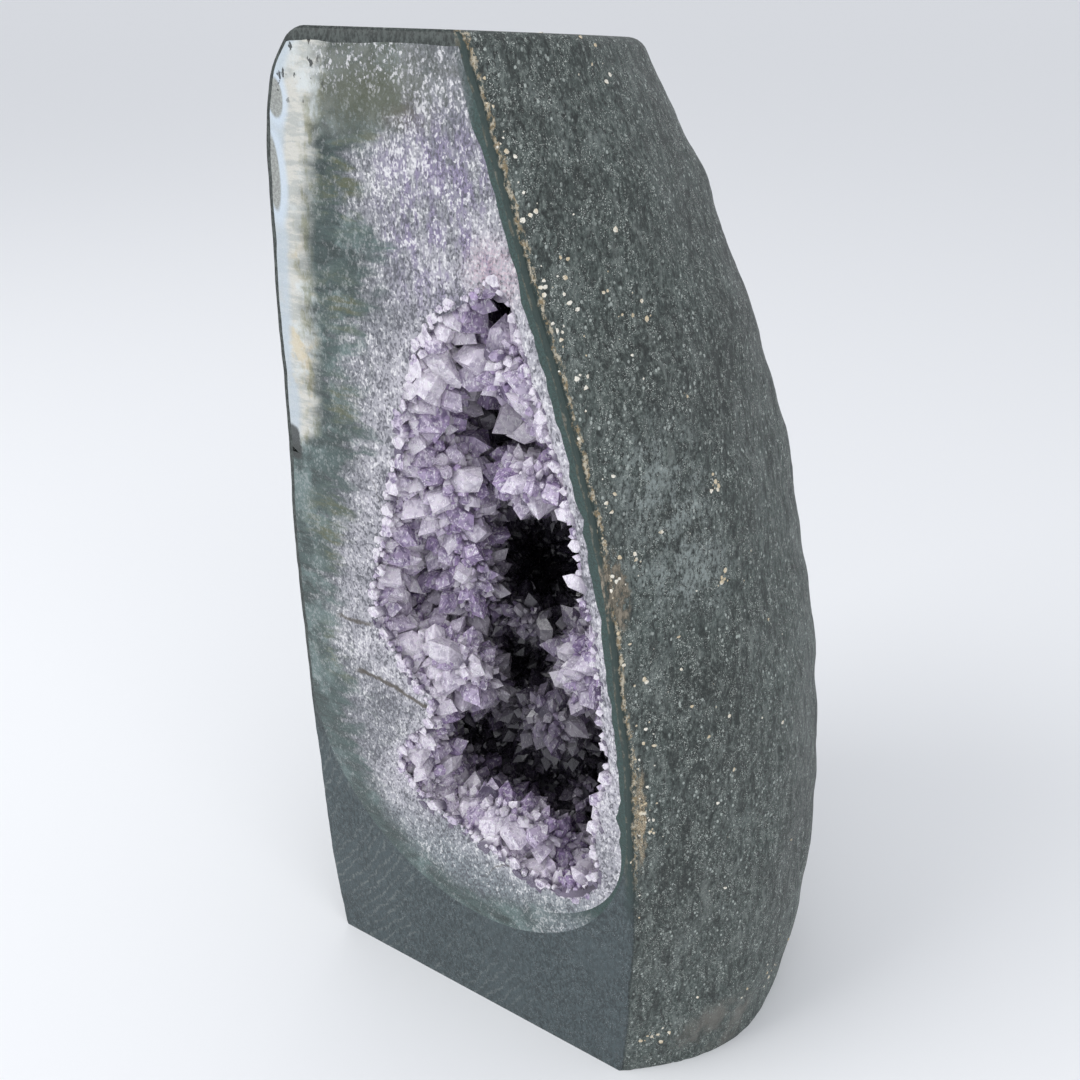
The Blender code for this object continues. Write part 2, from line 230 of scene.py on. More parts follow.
def ringAt(level):
    # one level of the host rock: round the flanks and back, then along the front
    top = stone["height"] - stone["edgeRound"]
    inset = 0.0
    if level > top:
        share = (level - top) / stone["edgeRound"]
        inset = stone["edgeRound"] * (1 - math.sqrt(max(1 - share * share, 0)))
    if level < 2:
        inset = (2 - level) * 0.12
    left = float(leftEdgeAt([level])[0]) + inset
    right = float(rightEdgeAt([level])[0]) - inset
    leftBelly = float(smoothAt(stone["leftBelly"], level))
    rightBelly = float(smoothAt(stone["rightBelly"], level))
    depth = float(smoothAt(stone["depth"], level)) - inset
    belly = 0.44 * depth
    front = inset * 0.35
    middle = (left - leftBelly + right + rightBelly) / 2
    ring = []
    s = np.linspace(0, 1, flankSteps["right"], endpoint=False) ** 1.15
    ring += list(zip(right + rightBelly * (1 - (1 - s) ** 2.2), front + (belly - front) * s))
    t = np.linspace(0, math.pi / 2, flankSteps["rightBack"], endpoint=False)
    reach = right + rightBelly - middle
    ring += list(zip(middle + reach * np.cos(t) ** 0.8, belly + (depth - belly) * np.sin(t) ** 0.8))
    t = np.linspace(math.pi / 2, 0, flankSteps["leftBack"], endpoint=False)
    reach = middle - left + leftBelly
    ring += list(zip(middle - reach * np.cos(t) ** 0.8, belly + (depth - belly) * np.sin(t) ** 0.8))
    s = (1 - np.linspace(0, 1, flankSteps["left"])) ** 1.15
    ring += list(zip(left - leftBelly * (1 - (1 - s) ** 2), front + (belly - front) * s))
    u = np.linspace(0, 1, flankSteps["front"] + 1)[1:-1]
    ring += [(left + (right - left) * v, front) for v in u]
    ring = np.array(ring)
    share = max(level - 330, 0) / (stone["height"] - 330)
    heights = level - stone["topTilt"] * np.maximum(ring[:, 1], 0) * share
    return np.column_stack([ring[:, 0], ring[:, 1], heights])


rings = np.array([ringAt(level) for level in levels])
sideCount = sum(flankSteps[k] for k in ("right", "rightBack", "leftBack", "left"))
ringCount = rings.shape[1]
lowFace = 2
highFace = len(levels) - 6
rightColumn = [(row, 0) for row in range(lowFace, highFace + 1)]
leftColumn = [(row, sideCount - 1) for row in range(lowFace, highFace + 1)]
topRow = [(highFace, k) for k in range(sideCount, ringCount)]
bottomRow = [(lowFace, k) for k in range(sideCount, ringCount)]
# counter-clockwise from in front: bottom row rightwards, right edge up, top row leftwards, left edge down
outlineIds = bottomRow + rightColumn + topRow[::-1] + leftColumn[::-1]
outline = np.array([rings[row, k] for row, k in outlineIds])
centre = np.array(layers["centre"])
bearing = np.unwrap(np.arctan2(outline[:, 2] - centre[1], outline[:, 0] - centre[0]))


def radiiOf(curve):
    # distance from the centre to a closed curve of (a, z) points, along each outline point's bearing
    offset = curve - centre
    angle = np.unwrap(np.arctan2(offset[:, 1], offset[:, 0]))
    radius = np.hypot(offset[:, 0], offset[:, 1])
    if angle[-1] < angle[0]:
        angle, radius = angle[::-1], radius[::-1]
    turns = np.concatenate([angle + 2 * math.pi * k for k in (-2, -1, 0, 1, 2)])
    lengths = np.concatenate([radius] * 5)
    order = np.argsort(turns)
    return np.interp(bearing, turns[order], lengths[order])


def footCurve(foot, steps=160):
    turn = np.linspace(math.pi, 0, steps)
    drop = np.sin(turn)
    middle = foot["middle"] + foot["lean"] * drop
    a = middle + foot["half"] * np.cos(turn)
    z = foot["high"] - (foot["high"] - foot["low"]) * drop
    return np.column_stack([a, z])


def agateCurve():
    top = stone["height"] - layers["topLip"]
    foot = footCurve(layers["agateFoot"])
    z = np.linspace(131, top, 400)
    right = np.column_stack([rightEdgeAt(z) - layers["lip"] + wobble(z, 8, 16, 0.35), z])
    left = np.column_stack([leftEdgeAt(z) + layers["lip"] + wobble(z, 9, 18, 0.3), z])[::-1]
    a = np.linspace(right[-1, 0], left[0, 0], 80)[1:-1]
    lid = np.column_stack([a, top + wobble(a, 4, 22, 0.7)])
    return np.concatenate([foot, right, lid, left])


def quartzCurve():
    top = stone["height"] - layers["topLip"] - 0.6
    foot = footCurve(layers["quartzFoot"])
    z = np.linspace(118, top, 400)
    line = layers["line"] + wobble(z, 14, 30, 1.0) + wobble(z, 15, 9, 0.6)
    right = np.column_stack([rightEdgeAt(z) - layers["lip"] - line, z])
    left = np.column_stack([smoothAt(layers["quartzLeft"], z) + wobble(z, 11, 24, 1.6), z])[::-1]
    a = np.linspace(right[-1, 0], left[0, 0], 60)[1:-1]
    lid = np.column_stack([a, a * 0 + top])
    return np.concatenate([foot, right, lid, left])


def mouthCurve():
    z = np.linspace(81, 312.6, 700)
    right = smoothAt(hollow["right"], z) + wobble(z, 21, 15, 1.5) + wobble(z, 22, 6, 0.8)
    left = smoothAt(hollow["left"], z) + wobble(z, 23, 11, 1.2) + wobble(z, 24, 5, 0.6)
    return np.concatenate([np.column_stack([right, z]), np.column_stack([left, z])[::-1]])


outerR = np.hypot(outline[:, 0] - centre[0], outline[:, 2] - centre[1])
agateR = np.minimum(radiiOf(agateCurve()), outerR - 0.4)
quartzR = np.minimum(radiiOf(quartzCurve()), agateR - 0.02)
mouthR = np.minimum(radiiOf(mouthCurve()), quartzR - 1.2)
bandZ = np.linspace(238, 389, 200)
bandA = smoothAt(layers["bandEdge"], bandZ) + wobble(bandZ, 31, 20, 1.2)
bandAngle = np.arctan2(bandZ - centre[1], bandA - centre[0])
bandRadius = np.hypot(bandA - centre[0], bandZ - centre[1])
turned = (bearing + math.pi) % (2 * math.pi) - math.pi
bandR = np.where((turned > bandAngle[-1]) & (turned < bandAngle[0]),
                 np.interp(turned, bandAngle[::-1], bandRadius[::-1]), agateR + 1)
bandR = np.clip(bandR, quartzR + 0.01, agateR)
print("face laid out with", len(outline), "points round it")


def rimDrop(points):
    # the broken edge of the mouth lies a little behind the cut face
    gap = np.hypot(points[:, 0] - centre[0], points[:, 2] - centre[1]) - mouthR
    drop = 1.5 + 0.9 * waves(points, 11, 71, 3)
    return np.clip(drop, 0.5, 2.6) * np.clip(1 - gap / layers["broken"], 0, 1) ** 1.6


def ringOf(radius, back=0.0):
    # a loop round the centre, some way back from the cut face
    across = centre[0] + radius * np.cos(bearing)
    return np.column_stack([across, bearing * 0 + back, centre[1] + radius * np.sin(bearing)])


def faceRows(inner, outer, rows, ease=1.0):
    # rings of points on the cut face between two closed curves
    return [ringOf(inner + (outer - inner) * step) for step in np.linspace(0, 1, rows) ** ease]


def bowlRows(curve, depth, rows=bowlSteps):
    # hidden back of a layer: from a curve on the face to a pole behind it
    result = []
    for step in np.linspace(0, 1, rows + 1)[1:]:
        turn = step * math.pi / 2
        radius = curve * math.cos(turn) ** 0.6 if step < 1 else curve * 0 + 0.02
        result.append(ringOf(radius, depth * math.sin(turn)))
    return result


def stitch(rowsOfPoints):
    # numbers for rows of points, each row a closed loop
    count = len(rowsOfPoints[0])
    grid = [np.arange(count) + count * i for i in range(len(rowsOfPoints))]
    return np.concatenate(rowsOfPoints), grid


def closeFaces(grid, flip=False):
    # faces between neighbouring loops; those of loops that run outwards on the cut face look forwards,
    # and flip turns them round
    faces = []
    for low, high in zip(grid[:-1], grid[1:]):
        for k in range(len(low)):
            m = (k + 1) % len(low)
            quad = [int(low[k]), int(low[m]), int(high[m]), int(high[k])]
            if len(set(quad)) > 2:
                faces.append(tuple(dict.fromkeys(quad)))
    return faces if flip else [f[::-1] for f in faces]


def weld(obj, closeHoles=False):
    # joins points that lie together, then closes the holes or drops the faces left with no area
    shape = bmesh.new()
    shape.from_mesh(obj.data)
    bmesh.ops.remove_doubles(shape, verts=shape.verts, dist=weldReach)
    if closeHoles:
        rims = [e for e in shape.edges if len(e.link_faces) == 1]
        bmesh.ops.holes_fill(shape, edges=rims, sides=0)
    else:
        thin = [f for f in shape.faces if f.calc_area() < 1e-13]
        bmesh.ops.delete(shape, geom=thin, context="FACES")
    loose = [v for v in shape.verts if not v.link_faces]
    bmesh.ops.delete(shape, geom=loose, context="VERTS")
    shape.to_mesh(obj.data)
    shape.free()


class nodeValue:
    # what a node gives out: sums of these are written as sums, and each makes the node that it needs
    def __init__(self, socket):
        self.socket = socket
        self.tree = socket.id_data

    def __add__(self, other):
        return calc("ADD", self, other)

    def __sub__(self, other):
        return calc("SUBTRACT", self, other)

    def __rsub__(self, other):
        return calc("SUBTRACT", other, self)

    def __mul__(self, other):
        return calc("MULTIPLY", self, other)

    def __truediv__(self, other):
        return calc("DIVIDE", self, other)

    def __abs__(self):
        return calc("ABSOLUTE", self)


def fill(node, inputs):
    # gives a node its inputs, by name or by number
    for key, value in inputs.items():
        socket = node.inputs[key]
        if isinstance(value, nodeValue):
            value.tree.links.new(value.socket, socket)
        elif socket.type == "RGBA":
            socket.default_value = (*value, 1)
        else:
            socket.default_value = value


def addNode(tree, kind, inputs, output=0, **settings):
    node = tree.nodes.new(kind)
    for key, value in settings.items():
        setattr(node, key, value)
    fill(node, inputs)
    return nodeValue(node.outputs[output])


def calc(operation, first, second=0.0, clamp=False):
    tree = first.tree if isinstance(first, nodeValue) else second.tree
    return addNode(tree, "ShaderNodeMath", {0: first, 1: second}, operation=operation, use_clamp=clamp)


def most(first, second):
    return calc("MAXIMUM", first, second)


def rootOf(value):
    return calc("SQRT", value)


def fade(value, start, end, low=0.0, high=1.0):
    # smooth change from low to high as the value goes from start to end
    inputs = dict(enumerate((value, start, end, low, high)))
    return addNode(value.tree, "ShaderNodeMapRange", inputs, interpolation_type="SMOOTHSTEP")


def blendColour(amount, first, second):
    # the colour mix node has its colours at inputs 6 and 7 and its result at output 2
    inputs = {0: amount, 6: first, 7: second}
    return addNode(amount.tree, "ShaderNodeMix", inputs, 2, data_type="RGBA", clamp_factor=True)


def place(vector, scale=(1, 1, 1), turn=(0, 0, 0), shift=(0, 0, 0)):
    inputs = {"Vector": vector, "Scale": scale, "Rotation": turn, "Location": shift}
    return addNode(vector.tree, "ShaderNodeMapping", inputs)


def grainOf(vector, scale, detail=3.0, rough=0.55, bend=0.0):
    inputs = {"Vector": vector, "Scale": scale, "Detail": detail, "Roughness": rough, "Distortion": bend}
    return addNode(vector.tree, "ShaderNodeTexNoise", inputs)


def cellsOf(vector, scale, output="Distance"):
    return addNode(vector.tree, "ShaderNodeTexVoronoi", {"Vector": vector, "Scale": scale}, output)


def redOf(colour):
    # one random number for each cell, from its random colour
    return addNode(colour.tree, "ShaderNodeSeparateXYZ", {0: colour})


def lineOf(height, profile):
    # a profile from the dictionaries, read at a height in millimetres; the curve itself runs from 0 to 1
    tallest, lowest, span = 400.0, -20.0, 200.0
    node = height.tree.nodes.new("ShaderNodeFloatCurve")
    curve = node.mapping.curves[0]
    stops = [(h / tallest, (v - lowest) / span) for h, v in zip(*profile)]
    curve.points[0].location = stops[0]
    curve.points[1].location = stops[-1]
    for stop in stops[1:-1]:
        curve.points.new(*stop)
    node.mapping.update()
    fill(node, {"Value": height / tallest})
    return nodeValue(node.outputs[0]) * span + lowest


def objectPlace(tree):
    # object coordinates, and with them a, n and z in millimetres
    coords = nodeValue(tree.nodes.new("ShaderNodeTexCoord").outputs["Object"])
    split = tree.nodes.new("ShaderNodeSeparateXYZ")
    fill(split, {0: coords})
    x, y, z = [nodeValue(socket) * 1000.0 for socket in split.outputs]
    return coords, x - stone["corner"][0], y - stone["corner"][1], z


def attributeOf(tree, name):
    return addNode(tree, "ShaderNodeAttribute", {}, "Fac", attribute_name=name)


def spot(a, z, middle, wide, high, soft=1.0):
    # 1 inside an ellipse on the face, fading to 0 at its rim
    u = (a - middle[0]) / wide
    v = (z - middle[1]) / high
    return fade(rootOf(u * u + v * v), 1.0 + soft * 0.5, 1.0 - soft * 0.5)


def addBump(shader, height, depth, strength=1.0):
    inputs = {"Strength": strength, "Distance": depth, "Height": height}
    fill(shader, {"Normal": addNode(height.tree, "ShaderNodeBump", inputs)})


def addMaterial(name):
    made = bpy.data.materials.new(name)
    made.use_nodes = True
    return made, made.node_tree, made.node_tree.nodes["Principled BSDF"]


sawnLook = {
    # where the dark green agate gives way to pale quartz, and the cream band to the agate
    "tealLine": ([60, 95, 107, 120, 132, 145, 157, 170, 182, 195, 207, 220, 232, 245, 257, 270, 282, 295,
                  307, 320, 332, 350, 365, 382],
                 [44, 32, 22, 20, 18, 20, 16, 13, 15, 20, 20, 24, 27, 36, 38, 29, 31, 43,
                  47, 50, 38, 47, 66, 62]),
    "creamLine": ([236, 244, 250, 270, 295, 320, 345, 370, 382], [0, 8, 14, 16, 17, 19, 24, 30, 34]),
    "rimLine": ([0, 200, 245, 300, 340, 360, 370, 378, 382], [-2, -4, -1, 1, 3.5, 6.5, 10, 16, 20]),
    "teal": (0.048, 0.082, 0.076),
    "deepTeal": (0.017, 0.033, 0.029),
    "palerTeal": (0.118, 0.172, 0.166),
    "olive": (0.088, 0.094, 0.036),
    "brown": (0.110, 0.100, 0.075),
    "cream": (0.60, 0.59, 0.54),
    "milk": (0.62, 0.655, 0.65),
    "blueWhite": (0.47, 0.54, 0.60),
    "yellow": (0.62, 0.49, 0.27),
    "inclusion": (0.33, 0.345, 0.31),
    "greyQuartz": (0.27, 0.275, 0.305),
    "paleQuartz": (0.60, 0.575, 0.64),
    "lavender": (0.25, 0.215, 0.335),
    "footQuartz": (0.20, 0.245, 0.26),
    "vein": (0.075, 0.062, 0.045),
    "seamGreen": (0.020, 0.042, 0.037),
    "seamPale": (0.036, 0.078, 0.072),
    "greenQuartz": (0.135, 0.155, 0.155),
    "brightGrain": (0.83, 0.82, 0.83),
    "glassyGrain": (0.075, 0.078, 0.095),
    "rose": (0.58, 0.40, 0.47),
    "darkSmoke": (0.095, 0.105, 0.080),
    "paleSmoke": (0.20, 0.215, 0.19),
    "moss": (0.075, 0.085, 0.048),
    "greyCream": (0.45, 0.465, 0.44),
    "mossyCream": (0.25, 0.24, 0.12),
    "lensRim": (0.56, 0.64, 0.72),
    "darkInclusion": (0.22, 0.22, 0.20),
    # black of the specks, also used as the painted shade of the notch
    "speckAndNotchShade": (0.028, 0.032, 0.030),
    # dark violet of the wall behind the mouth, partly its own colour and partly painted shade; near black
    # painted shade further in
    "nearWallShade": (0.20, 0.165, 0.235),
    "farWallShade": (0.012, 0.011, 0.017),
    # two grey lenses in the cream band and their rims: middle, half width, half height, softness
    "lenses": (((9.6, 361), 3.2, 6.0, 0.25), ((5.4, 338), 2.9, 12.0, 0.25)),
    "lensRims": (((9.8, 361), 5.2, 8.6, 0.45), ((6.2, 337), 5.2, 15.5, 0.45)),
    # brown veins and one thin dark crack: heights along them, start, end, width, strength
    "veins": [
        (([0, 22, 34, 48, 60, 150], [0, 149, 150, 147.5, 144, 120]), 22, 62, 1.1, 0.9),
        (([0, 14, 24, 33, 150], [0, 173, 172.5, 174, 180]), 15, 33, 0.9, 0.8),
        (([0, 38, 47, 150], [220, 236, 239, 250]), 38, 48, 0.7, 0.7),
        (([0, 82, 88, 95, 102, 150], [60, 72, 80, 83, 81, 80]), 83, 102, 0.45, 0.6),
    ],
}


def sawnGrains(tree):
    # the noises, grains and mosaics that the colours of the sawn face are mixed by
    coords, a, _, z = objectPlace(tree)
    fibreSpace = place(coords, (0.22, 1, 1.0), (0, math.radians(-24), 0))
    broadSpace = place(coords, (0.3, 1, 1.0), (0, math.radians(-22), 0))
    streakSpace = place(coords, (1, 1, 0.35), (0, math.radians(12), 0))
    bentSpace = place(coords, (1, 1, 0.62), (0, math.radians(24), 0))
    drift = grainOf(coords, 34, 2) - 0.5
    ragged = grainOf(coords, 150, 4, 0.62) - 0.5
    grit = grainOf(coords, 1150, 3, 0.7)
    # a mosaic of sawn grains, some bright and some glassy dark
    mosaic = redOf(cellsOf(bentSpace, 820, output="Color"))
    small = redOf(cellsOf(bentSpace, 1800, output="Color"))
    shine = mosaic * 0.3 + small * 0.45 + (grit - 0.25) * 0.5 + (ragged + drift) * 0.5
    broadFibre = grainOf(broadSpace, 170, 3, 0.6, 0.5)
    return SimpleNamespace(
        tree=tree, coords=coords, a=a, z=z, drift=drift, ragged=ragged, both=ragged + drift,
        grit=grit, shine=shine,
        fibre=grainOf(fibreSpace, 620, 4, 0.6, 0.4), broadFibre=broadFibre, fibreShift=broadFibre - 0.5,
        patchy=grainOf(coords, 105, 5, 0.68, 0.5), streaks=grainOf(streakSpace, 230, 4, 0.65))


def paintQuartz(on, look):
    # pale quartz: lilac white beside the hollow, greyer away from it, with bright and dark grains
    nearMouth = fade(attributeOf(on.tree, "mouthGap"), 34.0, 3.0)
    tone = calc("ADD", nearMouth * 0.55, on.both * 1.1, clamp=True)
    colour = blendColour(tone, look["greyQuartz"], look["paleQuartz"])
    green = fade(on.patchy, 0.5, 0.34) * fade(nearMouth, 0.9, 0.1, 0.15, 0.75)
    colour = blendColour(green, colour, look["greenQuartz"])
    lavender = spot(on.ragged * 30.0 + on.a, on.z, (72, 332), 22, 30, 1.1) * fade(on.streaks, 0.42, 0.6)
    colour = blendColour(lavender, colour, look["lavender"])
    lowPart = fade(on.drift * 22.0 + on.z, 100.0, 68.0)
    colour = blendColour(lowPart * 0.75, colour, look["footQuartz"])
    colour = blendColour(fade(on.shine, 0.57, 0.85) * 0.85, colour, look["brightGrain"])
    colour = blendColour(fade(on.shine, 0.52, 0.22) * 0.85, colour, look["glassyGrain"])
    rosy = spot(on.a, on.z, (92, 316), 9, 9, 1.3) * fade(on.grit, 0.4, 0.6)
    return blendColour(rosy * 0.6, colour, look["rose"])


def agateCover(on, look, smoke):
    # where the dark green agate lies: left of its line, round the foot of the quartz, and under the smoke
    border = lineOf(on.z, look["tealLine"]) + on.fibreShift * 46.0 + on.ragged * 16.0
    upper = fade(border - on.a, -6.0, 9.0) * fade(on.z, 84.0, 104.0)
    u = (on.a - 77.0) / 71.0
    v = (on.z - 130.0) / 81.0
    away = rootOf(u * u + v * v) + on.ragged * 0.22 + on.drift * 0.1
    foot = fade(away, 0.76, 0.93) * fade(on.z, 122.0, 96.0) * fade(on.a, 128.0, 96.0)
    # quartz flecks come through the agate, most of all by the top edge
    flecks = fade(on.shine, 0.56, 0.8) * fade(on.drift * 16.0 + on.z, 362.0, 373.0, 0.14, 0.8)
    return most(most(upper, foot), smoke * 0.75) * (1.0 - flecks)


def paintAgate(on, look):
    tone = blendColour(fade(on.broadFibre, 0.36, 0.62), look["deepTeal"], look["teal"])
    tone = blendColour(fade(on.both, -0.02, 0.26), tone, look["palerTeal"])
    tone = blendColour(fade(on.fibre, 0.5, 0.72) * 0.35, tone, look["palerTeal"])
    olive = (spot(on.a, on.z, (54, 351), 14, 3.4, 1.2) + spot(on.a, on.z, (18, 210), 13, 16, 1.2)
             + spot(on.a, on.z, (16, 155), 13, 12, 1.2))
    for middle, wide, high in (((34, 338), 11, 14), ((30, 298), 9, 10), ((27, 262), 9, 9)):
        olive = most(olive, spot(on.a, on.z, middle, wide, high, 1.3))
    olive = olive * fade(on.broadFibre + on.ragged * 0.5, 0.42, 0.6) * fade(on.fibre, 0.42, 0.56, 0.25, 1.0)
    tone = blendColour(olive * 0.8, tone, look["olive"])
    smoke = spot(on.ragged * 30.0 + on.a, on.z, (44, 368), 38, 16, 0.8)
    smoke = smoke * fade(on.shine, 0.78, 0.42, 0.25, 1.0)
    smokeTone = blendColour(fade(on.patchy, 0.38, 0.62), look["darkSmoke"], look["paleSmoke"])
    tone = blendColour(smoke * 0.85, tone, smokeTone)
    mossy = spot(on.ragged * 20.0 + on.a, on.drift * 12.0 + on.z, (48, 365), 19, 7, 1.2)
    tone = blendColour(mossy * 0.7, tone, look["moss"])
    smudge = spot(on.a, on.ragged * 10.0 + on.z, (64, 357), 10, 4, 1.2)
    tone = blendColour(smudge * 0.8, tone, look["brown"])
    return agateCover(on, look, smoke), tone


def paintCream(on, look):
    # cream band down the upper left, with yellow stains and a blue-white rim round grey inclusions
    border = lineOf(on.z, look["creamLine"]) + on.fibreShift * 10.0 + on.ragged * 6.0
    within = border - on.a
    cover = fade(within, -4.0, 7.0) * fade(on.z, 238.0, 247.0)
    tone = blendColour(fade(on.fibre + on.fibreShift * 0.6, 0.4, 0.6), look["greyCream"], look["cream"])
    tone = blendColour(fade(on.both, -0.02, 0.25), tone, look["milk"])
    stain = fade(grainOf(on.coords, 95, 3, 0.6), 0.52, 0.64) * fade(on.z, 250.0, 265.0)
    tone = blendColour(stain * fade(on.z, 330.0, 300.0) * 0.55, tone, look["yellow"])
    moss = fade(within, 8.0, 2.0) * fade(on.streaks, 0.46, 0.58)
    tone = blendColour(moss * 0.7, tone, look["mossyCream"])
    inward = on.a - lineOf(on.z, look["rimLine"]) + on.drift * 9.0
    tone = blendColour(fade(inward, 7.5, 4.0) * 0.75, tone, look["blueWhite"])
    rims, lenses = [most(*[spot(on.a, on.z, *oval) for oval in look[key]]) for key in ("lensRims", "lenses")]
    tone = blendColour(rims * 0.85, tone, look["lensRim"])
    grey = blendColour(fade(on.grit, 0.4, 0.6), look["darkInclusion"], look["inclusion"])
    return cover, blendColour(lenses * 0.9, tone, grey)


def paintSpecksAndNotchShade(on, look, colour):
    # black specks by the top edge, and painted shade standing in for a chipped notch where the band ends
    specks = fade(grainOf(place(on.coords, (1, 1, 0.6)), 330, 3, 0.6), 0.615, 0.66)
    specks = specks * fade(on.drift * 20.0 + on.z, 352.0, 366.0) * fade(on.a, 36.0, 26.0)
    notchShade = spot(on.ragged * 5.0 + on.a, on.drift * 6.0 + on.z, (1.5, 243), 3.6, 6.5, 0.3)
    return blendColour(most(specks, notchShade) * 0.92, colour, look["speckAndNotchShade"])


def paintSeam(on, look, colour):
    # green seam up the right of the quartz
    start = fade(on.z, 108.0, 150.0, 106.0, 84.0)
    cover = fade(on.a - start, -5.0, 3.0) * fade(on.z, 62.0, 82.0)
    tone = blendColour(fade(on.grit, 0.4, 0.62), look["seamGreen"], look["seamPale"])
    return blendColour(cover, colour, tone)


def paintVeins(on, look, colour):
    for stops, start, end, width, depth in look["veins"]:
        off = abs(on.ragged * 5.0 + on.z - lineOf(on.a, stops))
        mask = fade(off, width * 1.5, width * 0.4) * fade(on.a, start - 2.0, start + 3.0)
        mask = mask * fade(on.a, end + 1.0, end - 3.0)
        colour = blendColour(mask * depth, colour, look["vein"])
    return colour


def sawnMaterial(name, wall=False, seam=False):
    # the agate, the pale band and the quartz all share this pattern, so that they grow together
    look = sawnLook
    made, tree, shader = addMaterial(name)
    on = sawnGrains(tree)
    agateHere, agateTone = paintAgate(on, look)
    creamHere, creamTone = paintCream(on, look)
    colour = blendColour(agateHere * 0.94, paintQuartz(on, look), agateTone)
    colour = blendColour(creamHere, colour, creamTone)
    colour = paintSpecksAndNotchShade(on, look, colour)
    if seam:
        colour = paintSeam(on, look, colour)
    colour = paintVeins(on, look, colour)
    solid = most(agateHere, creamHere)
    height = (on.grit + on.shine * 0.7) * fade(solid, 0.9, 0.1, 0.2, 1.0)
    if wall:
        # the wall behind the mouth: dark violet, partly its own colour and partly painted shade under the
        # crystals, deepening to near black painted shade further in
        deep = attributeOf(tree, "deep")
        wallShade = blendColour(fade(deep, 8.0, 42.0), look["nearWallShade"], look["farWallShade"])
        colour = blendColour(fade(deep, 0.6, 3.0), colour, wallShade)
    rough = fade(solid * -0.3 + on.grit, 0.1, 0.6, 0.22, 0.46)
    fill(shader, {"Base Color": colour, "Roughness": rough, "IOR": 1.54, "Subsurface Weight": 0.08,
                  "Subsurface Radius": (0.6, 0.55, 0.7), "Subsurface Scale": 0.003})
    addBump(shader, height, 0.0007, 0.55)
    return made


basaltLook = {
    "dark": (0.038, 0.048, 0.045),
    "mid": (0.070, 0.092, 0.085),
    "pale": (0.20, 0.235, 0.225),
    "cream": (0.60, 0.54, 0.42),
    "ochre": (0.29, 0.22, 0.12),
    "seamGreen": (0.018, 0.040, 0.036),
    "paleGrainAndTopLight": (0.225, 0.26, 0.24),
    "darkGrainAndGapShade": (0.008, 0.012, 0.011),
    "pit": (0.010, 0.015, 0.014),
    "fleck": (0.62, 0.66, 0.62),
    "glint": (0.50, 0.55, 0.52),
    "furrowShade": (0.013, 0.018, 0.017),
    "ridgeLight": (0.23, 0.26, 0.245),
    "bloom": (0.30, 0.345, 0.335),
    "darkFoot": (0.020, 0.031, 0.035),
    "paleFoot": (0.076, 0.101, 0.108),
    "footFleck": (0.33, 0.37, 0.38),
    "footCloud": (0.062, 0.086, 0.094),
    "bladeMark": (0.25, 0.27, 0.26),
    "darkRind": (0.020, 0.026, 0.024),
    "paleRind": (0.080, 0.094, 0.088),
    "darkShell": (0.085, 0.075, 0.055),
    "paleShell": (0.27, 0.235, 0.18),
    "darkStreak": (0.24, 0.17, 0.09),
    "paleStreak": (0.58, 0.50, 0.36),
    "worn": (0.17, 0.16, 0.14),
}


def paintRock(on, look):
    # grainy broken rock with pits, pale flecks and slanting furrows of the chisel, with painted shade in the
    # low parts of the grain, the pits and the furrows, painted light on grain tops and ridges, and painted
    # glints
    colour = blendColour(fade(grainOf(on.coords, 16, 4, 0.6), 0.3, 0.7), look["dark"], look["mid"])
    colour = blendColour(fade(on.cloud, 0.5, 0.74) * 0.42, colour, look["pale"])
    # the rock's own pale and dark grain, with painted light on the grain's high parts and painted shade in
    # the gaps between
    colour = blendColour(fade(on.grain, 0.52, 0.62) * 0.62, colour, look["paleGrainAndTopLight"])
    colour = blendColour(fade(on.grain, 0.49, 0.38) * 0.9, colour, look["darkGrainAndGapShade"])
    # painted shade in the pits
    colour = blendColour(fade(on.pits, 0.42, 0.32) * 0.75, colour, look["pit"])
    colour = blendColour(on.flecks * 0.9, colour, look["fleck"])
    # painted glints: tiny bright spots standing in for highlights off broken grain faces
    glintSpace = place(on.coords, (1, 1, 0.7), (math.radians(30), 0, math.radians(20)))
    chosen = fade(redOf(cellsOf(glintSpace, 620, output="Color")), 0.66, 0.8)
    glints = fade(cellsOf(glintSpace, 620), 0.34, 0.2) * chosen * fade(on.cloud, 0.36, 0.56, 0.35, 1.0)
    colour = blendColour(glints * 0.8, colour, look["glint"])
    # painted shade in the chisel furrows and painted light on their ridges
    colour = blendColour(fade(on.furrows, 0.47, 0.36) * 0.6, colour, look["furrowShade"])
    colour = blendColour(fade(on.furrows, 0.55, 0.68) * 0.4, colour, look["ridgeLight"])
    # cloudy bloom where the flank is worn
    bloom = most(spot(on.n, on.z, (21, 249), 13, 20, 1.2), spot(on.n, on.z, (24, 221), 15, 14, 1.2))
    bloom = bloom * fade(grainOf(on.coords, 110, 6, 0.8), 0.42, 0.58) * fade(on.a, 100.0, 130.0)
    return blendColour(bloom * fade(on.grain, 0.36, 0.56) * 0.85, colour, look["bloom"])


